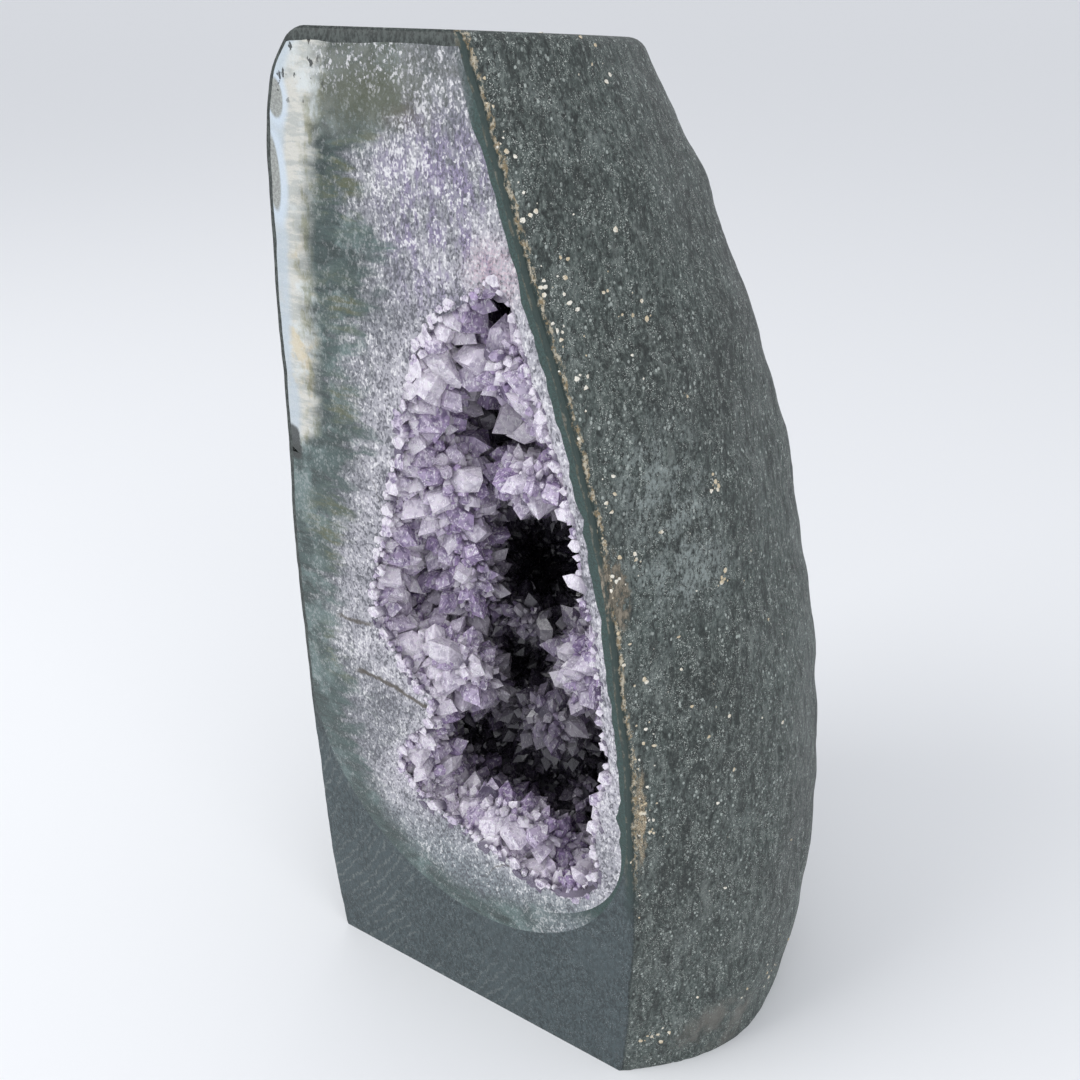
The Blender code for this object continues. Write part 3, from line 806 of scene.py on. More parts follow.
def paintFoot(on, look):
    # bluish sawn foot with curved blade marks
    foot = blendColour(fade(on.grain, 0.4, 0.62), look["darkFoot"], look["paleFoot"])
    foot = blendColour(on.flecks * 0.6, foot, look["footFleck"])
    foot = blendColour(fade(on.cloud, 0.44, 0.68) * 0.5, foot, look["footCloud"])
    inputs = {"Vector": place(on.coords, shift=(0.2, 0.0765, -0.14)), "Scale": 70, "Distortion": 5.0,
              "Detail": 3, "Detail Scale": 2.0}
    wave = addNode(on.tree, "ShaderNodeTexWave", inputs, "Fac", wave_type="RINGS",
                   rings_direction="SPHERICAL")
    marks = fade(wave, 0.7, 0.98) * fade(on.cloud, 0.42, 0.6)
    marks = marks * fade(on.a + on.z, 150.0, 70.0) * fade(on.grain, 0.4, 0.6)
    foot = blendColour(marks * 0.45, foot, look["bladeMark"])
    # the foot darkens to the thin rind of rock up the left edge
    rind = blendColour(fade(on.grain, 0.42, 0.6), look["darkRind"], look["paleRind"])
    return blendColour(fade(on.z, 92.0, 150.0), foot, rind)


def paintArris(on, look, colour):
    # green seam and ochre crumbs along the arris beside the quartz
    edge = attributeOf(on.tree, "edgeGap")
    ragged = grainOf(on.coords, 260, 4, 0.65)
    seam = fade(ragged * 6.0 + edge, 6.6, 3.8) * fade(on.z, 78.0, 100.0)
    colour = blendColour(seam * 0.8, colour, look["seamGreen"])
    line = abs(ragged * 5.0 + edge - 4.4)
    crumbs = fade(line, 1.25, 0.45) * fade(on.z, 92.0, 120.0)
    crumbs = crumbs * fade(grainOf(place(on.coords, (1, 1, 0.5)), 520, 5, 0.78), 0.45, 0.53)
    crumbs = crumbs * fade(on.n, 0.1, 0.7, 0.2, 1.0)
    crumbTone = blendColour(fade(grainOf(on.coords, 700, 3, 0.7), 0.44, 0.56), look["ochre"], look["cream"])
    colour = blendColour(crumbs * 0.92, colour, crumbTone)
    # brown shelly patch on the arris, and an ochre streak lower down
    shell = spot(ragged * 6.0 + edge, ragged * 14.0 + on.z, (6.5, 226), 4.0, 13, 0.4)
    flakes = grainOf(place(on.coords, (1, 1, 0.5), (0.5, 0, 0)), 420, 4, 0.75)
    shellTone = blendColour(fade(flakes, 0.46, 0.6), look["darkShell"], look["paleShell"])
    colour = blendColour(shell * fade(flakes, 0.4, 0.5), colour, shellTone)
    streak = spot(ragged * 4.0 + edge, on.z, (6.4, 131), 1.7, 19, 0.8)
    streak = streak * fade(grainOf(place(on.coords, (1, 1, 0.2)), 700, 5, 0.75), 0.42, 0.52)
    streakTone = blendColour(fade(on.fine, 0.42, 0.58), look["darkStreak"], look["paleStreak"])
    colour = blendColour(streak * 0.9, colour, streakTone)
    # worn brown patch low on the right flank
    worn = spot(ragged * 14.0 + on.n, on.cloud * 16.0 + on.z, (38, 24), 15, 14, 0.5)
    worn = worn * fade(on.a, 120.0, 150.0) * fade(on.cloud, 0.4, 0.56)
    return blendColour(worn * 0.7, colour, look["worn"])


def basaltMaterial():
    look = basaltLook
    made, tree, shader = addMaterial("basaltRock")
    coords, a, n, z = objectPlace(tree)
    grainSpace = place(coords, (1, 1, 0.55), (math.radians(14), 0, 0))
    furrowSpace = place(coords, (1, 1, 0.22), (math.radians(24), 0, 0))
    on = SimpleNamespace(
        tree=tree, coords=coords, a=a, n=n, z=z, cloud=grainOf(coords, 42, 5, 0.62, 0.3),
        grain=grainOf(grainSpace, 950, 4, 0.72, 0.2), fine=grainOf(coords, 2300, 2, 0.6),
        pits=grainOf(place(coords, (1, 1, 0.6)), 300, 4, 0.7, 0.3),
        furrows=grainOf(furrowSpace, 260, 4, 0.68, 0.3))
    on.flecks = fade(on.fine, 0.57, 0.65) * fade(on.pits, 0.44, 0.58)
    front = fade(n, 1.2, 0.4)
    colour = blendColour(front, paintRock(on, look), paintFoot(on, look))
    colour = paintArris(on, look, colour)
    fill(shader, {"Base Color": colour, "Roughness": fade(on.grain, 0.3, 0.7, 0.4, 0.72)})
    height = on.grain * 0.6 + on.pits * 0.7 + on.furrows * 0.8
    addBump(shader, height * (1.0 - front * 0.7), 0.0020, 0.9)
    return made


def roughen(points):
    # broad swells and fine grain over the flanks, the fewer the nearer to the cut face, foot and top
    n, z = points[:, 1], points[:, 2]
    flank = np.clip(n / 14, 0, 1)
    outward = points - np.array([points[:, 0].mean(), 70, 0])
    outward[:, 2] = 0
    outward /= np.linalg.norm(outward, axis=1)[:, None]
    inBody = np.clip((z - 1) / 12, 0, 1) * np.clip((stone["height"] - z) / 10, 0, 1)
    bulge = stone["wander"] * waves(points, 62, 41, 3) * flank
    fine = stone["grain"] * waves(points * [1, 1, 0.45], 7, 42, 3) * np.clip(n / 3, 0, 1)
    points += outward * (bulge * inBody + fine)[:, None]
    return flank


def keepInFrame(points, flank):
    # draws the flanks in or out until they just reach the box of the frame, and cuts what passes it
    corner = np.array(stone["corner"])
    low = np.array(cadLow[:2]) * 1000 - corner + boxSlack * 1000
    high = np.array(cadHigh[:2]) * 1000 - corner - boxSlack * 1000
    for axis, side in ((0, -1), (0, 1), (1, 1)):
        mid = (low[axis] + high[axis]) / 2
        limit = high[axis] if side == 1 else low[axis]
        far = (points[:, axis] - mid) * side
        squeeze = abs(limit - mid) / far.max()
        points[:, axis] += np.where(far > 0, far * (squeeze - 1), 0) * side * flank
    points[:, 0] = np.clip(points[:, 0], low[0], high[0])
    points[:, 1] = np.clip(points[:, 1], 0, high[1])


def addRow(blocks, row):
    # adds a row of points and gives their numbers
    start = sum(len(block) for block in blocks)
    blocks.append(row)
    return np.arange(len(row)) + start


def capRows(blocks, loop, lift):
    # rings from a loop in to its middle, sinking unevenly
    middle = loop.mean(axis=0)
    ids = []
    for step in (0.93, 0.84, 0.74, 0.63, 0.52, 0.41, 0.3, 0.2, 0.1, 0.001):
        ring = middle + (loop - middle) * step
        ring[:, 2] -= lift * (0.6 - 0.5 * waves(ring, 26, 44, 4)) * min((1 - step) * 8, 1)
        ids.append(addRow(blocks, ring))
    return ids


def makeBasalt():
    points = rings.reshape(-1, 3).copy()
    keepInFrame(points, roughen(points))
    base = np.arange(len(points)).reshape(len(levels), ringCount)
    faces = []
    for row in range(len(levels) - 1):
        for k in range(ringCount):
            m = (k + 1) % ringCount
            # the front between the foot and the top stays open for the cut face
            if k < sideCount - 1 or not lowFace <= row < highFace:
                quad = (base[row, k], base[row, m], base[row + 1, m], base[row + 1, k])
                faces.append(tuple(int(v) for v in quad))
    blocks = [points]
    faces += closeFaces([base[-1]] + capRows(blocks, points[base[-1]], 0.5), flip=True)
    faces += closeFaces([base[0]] + capRows(blocks, points[base[0]], 0.0))
    rows = faceRows(agateR, outerR, layers["rows"]["rock"])[:-1]
    face = [addRow(blocks, row) for row in rows]
    wall = [addRow(blocks, row) for row in bowlRows(agateR, layers["agateDepth"] + 1)]
    faces += closeFaces(face + [np.array([base[row, k] for row, k in outlineIds])])
    faces += closeFaces([face[0]] + wall, flip=True)
    allPoints = np.concatenate(blocks)
    # how far each point is from the edge between face and flank, for the chipped line there
    arris = rightEdgeAt(allPoints[:, 2])
    edge = np.where(allPoints[:, 0] > 60, np.hypot(allPoints[:, 0] - arris, allPoints[:, 1]), 60)
    made = makeObject("basaltStone", allPoints, faces, {"edgeGap": edge})
    weld(made)
    return made


def makeAgate():
    face = faceRows(quartzR, bandR, layers["rows"]["agate"])
    outer = bowlRows(bandR, layers["agateDepth"])
    inner = bowlRows(quartzR, layers["quartzDepth"] + 1)
    points, grid = stitch(face + outer + inner)
    n = len(face)
    across = np.repeat([i / (n - 1) for i in range(n)] + [1.0] * (len(outer) + len(inner)), len(bearing))
    faces = closeFaces(grid[:n])
    faces += closeFaces([grid[n - 1]] + grid[n:n + len(outer)])
    faces += closeFaces([grid[0]] + grid[n + len(outer):], flip=True)
    made = makeObject("agateRind", points, faces, {"mouthGap": 40 + 20 * across})
    weld(made)
    return made


def makeBand():
    face = faceRows(bandR, agateR, layers["rows"]["band"])
    back = [row + [0, layers["bandDepth"], 0] for row in face]
    points, grid = stitch(face + back)
    n = len(face)
    count = len(face[0])
    across = np.repeat([i / (n - 1) for i in range(n)] * 2, count)
    keep = agateR - bandR > 0.05

    def inside(quad):
        return all(keep[v % count] for v in quad)

    faces = [f for f in closeFaces(grid[:n]) if inside(f)]
    faces += [f for f in closeFaces(grid[n:], flip=True) if inside(f)]
    faces += [f for f in closeFaces([grid[n - 1], grid[-1]]) if inside(f)]
    faces += [f for f in closeFaces([grid[0], grid[n]], flip=True) if inside(f)]
    made = makeObject("chalcedonyBand", points, faces, {"mouthGap": 60 + 10 * across})
    weld(made, closeHoles=True)
    return made


def wallDepth(a, z):
    # how far back the crystal wall lies, where the line of sight from the eye point meets the face at (a, z)
    rimZ = np.linspace(80, 313, 140)
    rim = np.column_stack([smoothAt(hollow["left"], rimZ), rimZ])
    points = np.column_stack([a, z])
    gap = np.sqrt(((points[:, None, :] - rim[None, :, :]) ** 2).sum(axis=2)).min(axis=1)
    depth = hollow["baseDepth"] * (1 - np.exp(-gap / hollow["ease"]))
    near = np.clip(gap / 6, 0, 1)
    for *oval, goal in hollow["swells"]:
        depth = depth + (goal - depth) * humpAt(a, z, *oval, 1.3) * near
    return np.maximum(depth, 0.4)


def bowlShare(points):
    # 1 on the hidden back of the quartz, and less inside it
    across = points[..., 0] - centre[0]
    up = points[..., 2] - centre[1]
    turn = (np.arctan2(up, across) - bearing[0]) % (2 * math.pi) + bearing[0]
    order = np.argsort(bearing)
    reach = np.interp(turn, bearing[order], quartzR[order], period=2 * math.pi)
    sink = np.clip(points[..., 1] / layers["quartzDepth"], 0, 0.999)
    return np.hypot(across, up) / (reach * (1 - sink**2) ** 0.3)


def alongSight(spots, depth, eye):
    # from the face back along the lines of sight, stopping inside the quartz
    steps = np.linspace(0, 1, 25)
    ray = (spots - eye) / -eye[1]
    tried = spots[None] + ray[None] * (depth[None] * steps[:, None])[..., None]
    fits = bowlShare(tried) < 0.90
    fits[0] = True
    last = np.where(fits.all(axis=0), len(steps) - 1, np.argmin(fits, axis=0) - 1)
    return spots + ray * (depth * steps[np.maximum(last, 0)])[:, None]


def heldIn(points):
    # draws points that would come through the back of the quartz towards the middle
    share = np.maximum(bowlShare(points) / 0.93, 1.0)
    held = points.copy()
    held[:, 0] = centre[0] + (points[:, 0] - centre[0]) / share
    held[:, 2] = centre[1] + (points[:, 2] - centre[1]) / share
    return held


def makeWall():
    eye = np.array(hollow["eye"])
    rim = faceRows(mouthR, mouthR, 2)[0]
    rim[:, 1] = rimDrop(rim)
    along = np.roll(rim, -1, axis=0) - np.roll(rim, 1, axis=0)
    side = np.column_stack([along[:, 2], along[:, 1] * 0, -along[:, 0]])
    side /= np.maximum(np.linalg.norm(side, axis=1), 1e-6)[:, None]
    # the direction away from the mouth, evened out round the loop
    for _ in range(12):
        side = (np.roll(side, 1, axis=0) + side * 2 + np.roll(side, -1, axis=0)) / 4
    side /= np.linalg.norm(side, axis=1)[:, None]
    edgeDepth = np.maximum(wallDepth(rim[:, 0], rim[:, 2]), rim[:, 1] + 0.6)
    for _ in range(4):
        edgeDepth = (np.roll(edgeDepth, 1) + edgeDepth * 2 + np.roll(edgeDepth, -1)) / 4
    flat = rim * [1, 0, 1]
    first = alongSight(flat, edgeDepth, eye)
    dark = []
    under = []
    for step in np.linspace(0, 1, hollow["underRows"])[:-1]:
        bend = rim + side * np.minimum(hollow["undercut"] * edgeDepth * 1.6, 12)[:, None]
        bend[:, 1] = np.maximum(first[:, 1], rim[:, 1]) * 0.62
        under.append(heldIn(rim * (1 - step) ** 2 + bend * 2 * step * (1 - step) + first * step**2))
        dark.append(edgeDepth * step)
    inner = []
    for step in np.linspace(1, 0, hollow["innerRows"]):
        radius = mouthR * step if step > 0 else mouthR * 0 + 0.01
        seen = ringOf(radius)
        depth = wallDepth(seen[:, 0], seen[:, 2])
        blend = 1 - step
        depth = edgeDepth * max(1 - blend * 20, 0) + depth * min(blend * 20, 1)
        inner.append(alongSight(seen, depth, eye))
        dark.append(depth)
    return under + inner, dark


def makeQuartz(wallRows, dark):
    face = faceRows(mouthR, quartzR, layers["rows"]["quartz"], ease=1.5)
    for row in face:
        row[:, 1] = rimDrop(row)
    lumps = [row + np.column_stack([waves(row, 9, seed, 3) for seed in (51, 52, 53)])
             * 0.8 * np.clip((row[:, 1] / 5), 0, 1)[:, None] for row in wallRows[1:]]
    back = bowlRows(quartzR, layers["quartzDepth"])
    points, grid = stitch(face + lumps + back)
    n = len(face)
    m = len(lumps)
    onWall = np.repeat([False] * n + [True] * m + [False] * len(back), len(bearing))
    faces = closeFaces(grid[:n])
    faces += closeFaces([grid[0]] + grid[n:n + m], flip=True)
    faces += closeFaces([grid[n - 1]] + grid[n + m:])
    reach = np.hypot(points[:, 0] - centre[0], points[:, 2] - centre[1])
    gap = np.maximum(reach - np.tile(mouthR, len(grid)), 0)
    flat = np.zeros(len(bearing))
    made = makeObject("quartzLining", points, faces, {
        "mouthGap": np.where(onWall, 0, gap),
        "deep": np.concatenate([flat] * n + dark[1:] + [flat] * len(back))})
    weld(made)
    rimRows = [row for row in face if np.abs(row - face[0]).max() < 4.5][::-1]
    return made, rimRows + lumps, [row[:, 1] for row in rimRows] + dark[1:]


# chips of pale crust on the rock
chips = {
    "spacing": 1.2,
    "variants": 5,
    "size": (0.0004, 0.0023),
    "densest": 1500000,
    "slant": 0.3,
    "seed": 5,
    # n back from the cut face, height, spread across and up, how thickly they lie
    "patches": [
        (3, 345, 3, 30, 0.10), (4, 300, 4, 22, 0.13), (9, 318, 6, 10, 0.09), (3.5, 255, 3, 20, 0.16),
        (4, 215, 4, 14, 0.22), (7, 185, 5, 10, 0.12), (6, 160, 4, 14, 0.15), (4, 131, 2.5, 9, 0.5),
        (7, 123, 5, 5, 0.35), (5, 100, 4, 12, 0.10), (39, 247, 2.2, 2.2, 0.9), (37, 215, 2.5, 4, 0.5),
        (22, 305, 5, 12, 0.09), (36, 280, 3, 4, 0.10), (8, 18, 3, 4, 0.4), (60, 30, 20, 12, 0.05),
        (30, 160, 40, 70, 0.012), (34, 372, 20, 5, 0.05),
    ],
    "cream": (0.84, 0.81, 0.72),
    "ochre": (0.62, 0.52, 0.36),
    "shade": (0.20, 0.17, 0.12),
}


def chipShape(number):
    # a flat broken flake, one unit across
    rng = np.random.default_rng(number * 7 + 40)
    rim = []
    for t in np.linspace(0, 2 * math.pi, 6, endpoint=False):
        x = math.cos(t) * 0.5 * rng.uniform(0.55, 1.1)
        y = math.sin(t) * 0.5 * rng.uniform(0.55, 1.1)
        rim.append((x, y, rng.uniform(-0.08, 0.08)))
    points = rim + [(0, 0, 0.22), (0, 0, -0.3)]
    faces = [(k, (k + 1) % 6, 6) for k in range(6)] + [((k + 1) % 6, k, 7) for k in range(6)]
    mesh = bpy.data.meshes.new("chipShape%d" % number)
    mesh.from_pydata(points, [], faces)
    return bpy.data.objects.new(mesh.name, mesh)


def chipMaterial():
    made, tree, shader = addMaterial("paleCrust")
    coords = objectPlace(tree)[0]
    patchy = grainOf(coords, 160, 3)
    fine = grainOf(coords, 1400, 3, 0.7)
    colour = blendColour(fade(patchy, 0.42, 0.58), chips["cream"], chips["ochre"])
    colour = blendColour(fade(fine, 0.5, 0.32) * 0.6, colour, chips["shade"])
    fill(shader, {"Base Color": colour, "Roughness": fade(fine, 0.3, 0.7, 0.55, 0.8)})
    addBump(shader, fine, 0.0004, 0.5)
    return made


def startTree(name, labels):
    # an empty tree with its inputs, and the identifiers by which a modifier sets them
    tree = bpy.data.node_groups.new(name, "GeometryNodeTree")
    sockets = tree.interface
    sockets.new_socket("Geometry", in_out="INPUT", socket_type="NodeSocketGeometry")
    kinds = [(label, "NodeSocketFloat") for label in labels] + [("Seed", "NodeSocketInt")]
    names = {label: sockets.new_socket(label, in_out="INPUT", socket_type=kind).identifier
             for label, kind in kinds}
    sockets.new_socket("Geometry", in_out="OUTPUT", socket_type="NodeSocketGeometry")
    start = tree.nodes.new("NodeGroupInput")
    return tree, names, {label: nodeValue(start.outputs[label]) for label in ("Geometry", *names)}


def scatterPoints(tree, given, densest, extra):
    # points on the faces, no two nearer than the spacing, with the turn that each face gives
    inputs = {"Mesh": given["Geometry"], "Distance Min": given["Spacing"], "Density Max": densest,
              "Seed": given["Seed"], **extra}
    kind = "GeometryNodeDistributePointsOnFaces"
    points = addNode(tree, kind, inputs, "Points", distribute_method="POISSON")
    return points, nodeValue(points.socket.node.outputs["Rotation"])


def randomValue(tree, kind, low, high, seed=None):
    node = tree.nodes.new("FunctionNodeRandomValue")
    node.data_type = kind
    numbers = [number for number, socket in enumerate(node.inputs) if socket.enabled]
    fill(node, {numbers[0]: low, numbers[1]: high})
    if seed is not None:
        fill(node, {numbers[-1]: seed})
    return nodeValue([socket for socket in node.outputs if socket.enabled][0])


def namedValue(tree, name):
    return addNode(tree, "GeometryNodeInputNamedAttribute", {0: name}, data_type="FLOAT")


def plantShapes(tree, scattered, lean, size, shapes, extra):
    # a shape from the collection on each point, leaning from the face's own direction
    points, facing = scattered
    turn = addNode(tree, "FunctionNodeRotateRotation", {0: facing, 1: lean}, rotation_space="LOCAL")
    family = addNode(tree, "GeometryNodeCollectionInfo",
                     {"Collection": shapes, "Separate Children": True, "Reset Children": True})
    inputs = {"Points": points, "Instance": family, "Pick Instance": True, "Rotation": turn, "Scale": size,
              **extra}
    return addNode(tree, "GeometryNodeInstanceOnPoints", inputs)


def finishTree(tree, planted, material):
    real = addNode(tree, "GeometryNodeRealizeInstances", {0: planted})
    coat = addNode(tree, "GeometryNodeSetMaterial", {"Geometry": real, "Material": material})
    fill(tree.nodes.new("NodeGroupOutput"), {0: coat})


def growOn(obj, tree, names, values):
    # the mesh that the tree makes on an object, with the modifier taken off again
    modifier = obj.modifiers.new(tree.name, "NODES")
    modifier.node_group = tree
    for label, value in values.items():
        modifier[names[label]] = value
    graph = bpy.context.evaluated_depsgraph_get()
    mesh = bpy.data.meshes.new_from_object(obj.evaluated_get(graph))
    obj.modifiers.remove(modifier)
    return mesh


def clearAway(shapes, tree):
    for shape in list(shapes.objects):
        bpy.data.objects.remove(shape)
    bpy.data.collections.remove(shapes)
    bpy.data.node_groups.remove(tree)


def pointsOf(mesh):
    places = np.empty(len(mesh.vertices) * 3, np.float32)
    mesh.vertices.foreach_get("co", places)
    return places.reshape(-1, 3)


def addLayers(mesh, attributes):
    for key, values in attributes.items():
        layer = mesh.attributes.new(key, "FLOAT", "POINT")
        layer.data.foreach_set("value", np.asarray(values, np.float32))


def chipTree(shapes, material):
    # chips of random size and turn, thinned by the attribute cover
    tree, names, given = startTree("chipScatter", ("Spacing", "Smallest", "Largest"))
    cover = namedValue(tree, "cover")
    scattered = scatterPoints(tree, given, chips["densest"], {"Density Factor": cover})
    size = randomValue(tree, "FLOAT", given["Smallest"], given["Largest"])
    slant = chips["slant"]
    lean = randomValue(tree, "FLOAT_VECTOR", (-slant, -slant, 0), (slant, slant, fullTurn))
    finishTree(tree, plantShapes(tree, scattered, lean, size, shapes, {}), material)
    return tree, names


def scatterChips(rock):
    spots = pointsOf(rock.data) * 1000 - [*stone["corner"], 0]
    a, n, z = spots.T
    cover = np.zeros(len(spots))
    for back, up, wide, high, thick in chips["patches"]:
        cover = np.maximum(cover, thick * humpAt(n, z, back, up, wide, high))
    flank = (a > rightEdgeAt(z) - 1) & (n > 0.2) & (n < 75)
    addLayers(rock.data, {"cover": np.where(flank, cover, 0)})
    shapes = bpy.data.collections.new("chipShapes")
    for number in range(chips["variants"]):
        shapes.objects.link(chipShape(number))
    crust = chipMaterial()
    tree, names = chipTree(shapes, crust)
    mesh = growOn(rock, tree, names, {"Spacing": chips["spacing"] / 1000, "Smallest": chips["size"][0],
                                      "Largest": chips["size"][1], "Seed": chips["seed"]})
    clearAway(shapes, tree)
    print("chips:", len(mesh.vertices) // chipPoints)
    spots = np.clip(pointsOf(mesh), np.array(cadLow) + boxSlack, np.array(cadHigh) - boxSlack)
    mesh.vertices.foreach_set("co", spots.ravel())
    mesh.materials.clear()
    mesh.materials.append(crust)
    mesh.polygons.foreach_set("material_index", np.zeros(len(mesh.polygons), np.int32))
    made = bpy.data.objects.new("paleChips", mesh)
    bpy.context.scene.collection.objects.link(made)
    bpy.ops.object.select_all(action="DESELECT")
    made.select_set(True)
    rock.select_set(True)
    bpy.context.view_layer.objects.active = rock
    bpy.ops.object.join()


basalt = makeBasalt()
agate = makeAgate()
band = makeBand()
wallRows, wallDark = makeWall()
quartz, wallLumps, lumpDark = makeQuartz(wallRows, wallDark)
print("stone built")

basalt.data.materials.append(basaltMaterial())
scatterChips(basalt)
for node, piece in (("basalt_shell", basalt), ("agate_rind", agate), ("chalcedony_band", band),
                    ("quartz_lining", quartz)):
    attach(piece, "root")
    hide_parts(node)
    piece.data.shade_smooth()
    piece.data.set_sharp_from_angle(angle=math.radians(38))


agate.data.materials.append(sawnMaterial("sawnAgate", seam=True))
band.data.materials.append(sawnMaterial("sawnChalcedony"))
quartz.data.materials.append(sawnMaterial("sawnQuartz", wall=True))


crystals = {
    "variants": 7,
    "densest": 900000,
    # spacing, lowest and highest width of each coat in millimetres: the big points first
    "coats": [
        {"spacing": 8.4, "low": 7.4, "high": 11.4, "seed": 3},
        {"spacing": 4.6, "low": 4.2, "high": 6.4, "seed": 11},
        {"spacing": 2.8, "low": 2.4, "high": 4.2, "seed": 19},
    ],
    "tall": (0.95, 1.45),
    "tilt": 0.46,
    "sideRoom": 4.5,
    # where the points grow larger or smaller: a, z, width, height, change of size
    "patches": [(68, 270, 26, 24, 0.22), (88, 302, 12, 11, -0.30)],
    # darker amethyst on the knobs and painted shade round the pockets: a and z seen on the face, width,
    # height, how many millimetres deeper it looks
    "darkAmethystAndPocketShade": [(113, 161, 18, 16, 27), (104, 200, 14, 11, 9), (86, 286, 10, 13, 9), (79, 146, 24, 16, 13),
                  (112, 226, 17, 18, 14), (70, 220, 20, 18, 5), (92, 308, 9, 6, 30), (83, 290, 5, 12, 18),
                  (96, 275, 9, 6, 22), (105, 267, 8, 5, 18), (130, 190, 9, 24, 13)],
    "pale": (0.93, 0.87, 0.96),
    "lilac": (0.47, 0.355, 0.59),
    "clear": (0.22, 0.17, 0.30),
    # painted shade for the foot of each point
    "crystalBaseShade": (0.11, 0.09, 0.15),
    "milky": (0.94, 0.91, 0.96),
    # near black painted shade for crystals deep in the hollow
    "paintedDepthShade": (0.010, 0.009, 0.014),
}


def crystalShape(number):
    # a short six-sided prism one unit across under an uneven point
    rng = np.random.default_rng(number * 17 + 2)
    corners = [k * math.pi / 3 + rng.uniform(-0.1, 0.1) for k in range(6)]
    spreads = [0.5 * rng.uniform(0.86, 1.1) for _ in range(6)]
    shoulder = [0.40 + (0.11 if k % 2 else -0.11) + rng.uniform(-0.08, 0.08) for k in range(6)]
    points = [(math.cos(c) * s, math.sin(c) * s, -0.55) for c, s in zip(corners, spreads)]
    points += [(math.cos(c) * s * 0.97, math.sin(c) * s * 0.97, h)
               for c, s, h in zip(corners, spreads, shoulder)]
    tip = (rng.uniform(-0.13, 0.13), rng.uniform(-0.13, 0.13), 0.90 + rng.uniform(-0.08, 0.1))
    points += [tip, (0, 0, -0.55)]
    faces = [(k, (k + 1) % 6, 6 + (k + 1) % 6, 6 + k) for k in range(6)]
    faces += [(6 + k, 6 + (k + 1) % 6, 12) for k in range(6)]
    faces += [((k + 1) % 6, k, 13) for k in range(6)]
    mesh = bpy.data.meshes.new("crystalShape%d" % number)
    mesh.from_pydata(points, [], faces)
    # how far up the point each corner is, for the material
    addLayers(mesh, {"tip": [0.0] * 6 + [0.45] * 6 + [1.0, 0.0]})
    mesh.update()
    return bpy.data.objects.new(mesh.name, mesh)


def crystalTree(shapes, material):
    tree, names, given = startTree("crystalCrust", ("Spacing", "Smallest", "Largest", "Tilt"))
    scattered = scatterPoints(tree, given, crystals["densest"], {})

    def drawn(kind, low, high, offset):
        return randomValue(tree, kind, low, high, given["Seed"] + offset)

    width = drawn("FLOAT", given["Smallest"], given["Largest"], 5) * namedValue(tree, "grow")
    height = width * drawn("FLOAT", *crystals["tall"], 9)
    size = addNode(tree, "ShaderNodeCombineXYZ", {0: width, 1: width, 2: height})
    tilt = given["Tilt"]
    lean = addNode(tree, "ShaderNodeCombineXYZ", {
        0: drawn("FLOAT", tilt * -1, tilt, 21), 1: drawn("FLOAT", tilt * -1, tilt, 22),
        2: drawn("FLOAT", 0.0, fullTurn, 23)})
    pick = drawn("INT", 0, crystals["variants"] - 1, 31)
    planted = plantShapes(tree, scattered, lean, size, shapes, {"Instance Index": pick})
    # each crystal keeps one random tone, which the material reads
    toned = addNode(tree, "GeometryNodeStoreNamedAttribute",
                    {"Geometry": planted, "Name": "tone", "Value": drawn("FLOAT", 0.0, 1.0, 41)},
                    data_type="FLOAT", domain="INSTANCE")
    finishTree(tree, toned, material)
    return tree, names


def crystalMaterial():
    made, tree, shader = addMaterial("amethystCrystal")
    coords = objectPlace(tree)[0]
    tone = attributeOf(tree, "tone")
    deep = attributeOf(tree, "deep")
    tip = attributeOf(tree, "tip")
    cloud = grainOf(coords, 430, 4, 0.66, 0.6)
    wisp = grainOf(place(coords, (1, 1, 0.5), (0.4, 0.3, 0.0)), 900, 3, 0.65, 0.4)
    region = grainOf(coords, 38, 3, 0.5)
    mix = tone * 0.95 + region * 0.5
    # painted light: crystals that lie shallow, near the mouth, are made paler
    mix = mix + fade(deep, 24.0, 1.0) * 0.36
    colour = blendColour(fade(mix, 0.3, 1.2), crystals["lilac"], crystals["pale"])
    # clear patches, grey as smoke, and milky wisps inside the points
    clear = fade(cloud, 0.55, 0.38) * fade(tone, 1.0, 0.0, 0.35, 0.95)
    colour = blendColour(clear, colour, crystals["clear"])
    colour = blendColour(fade(wisp, 0.5, 0.64) * 0.8, colour, crystals["milky"])
    # painted shade at the foot of each point, where it meets the wall and its neighbours
    colour = blendColour(fade(tip, 0.45, 0.05, 0.0, 0.9), colour, crystals["crystalBaseShade"])
    # painted shade: crystals further back in the hollow darken towards near black
    inside = fade(region * 14.0 + deep, 24.0, 60.0)
    colour = blendColour(inside * 0.97, colour, crystals["paintedDepthShade"])
    fill(shader, {"Base Color": colour, "Roughness": fade(wisp, 0.3, 0.7, 0.08, 0.32), "IOR": 1.55,
                  "Transmission Weight": 0.2, "Subsurface Weight": 0.15,
                  "Subsurface Radius": (0.9, 0.7, 1.0), "Subsurface Scale": 0.002})
    addBump(shader, cloud, 0.0004, 0.3)
    return made


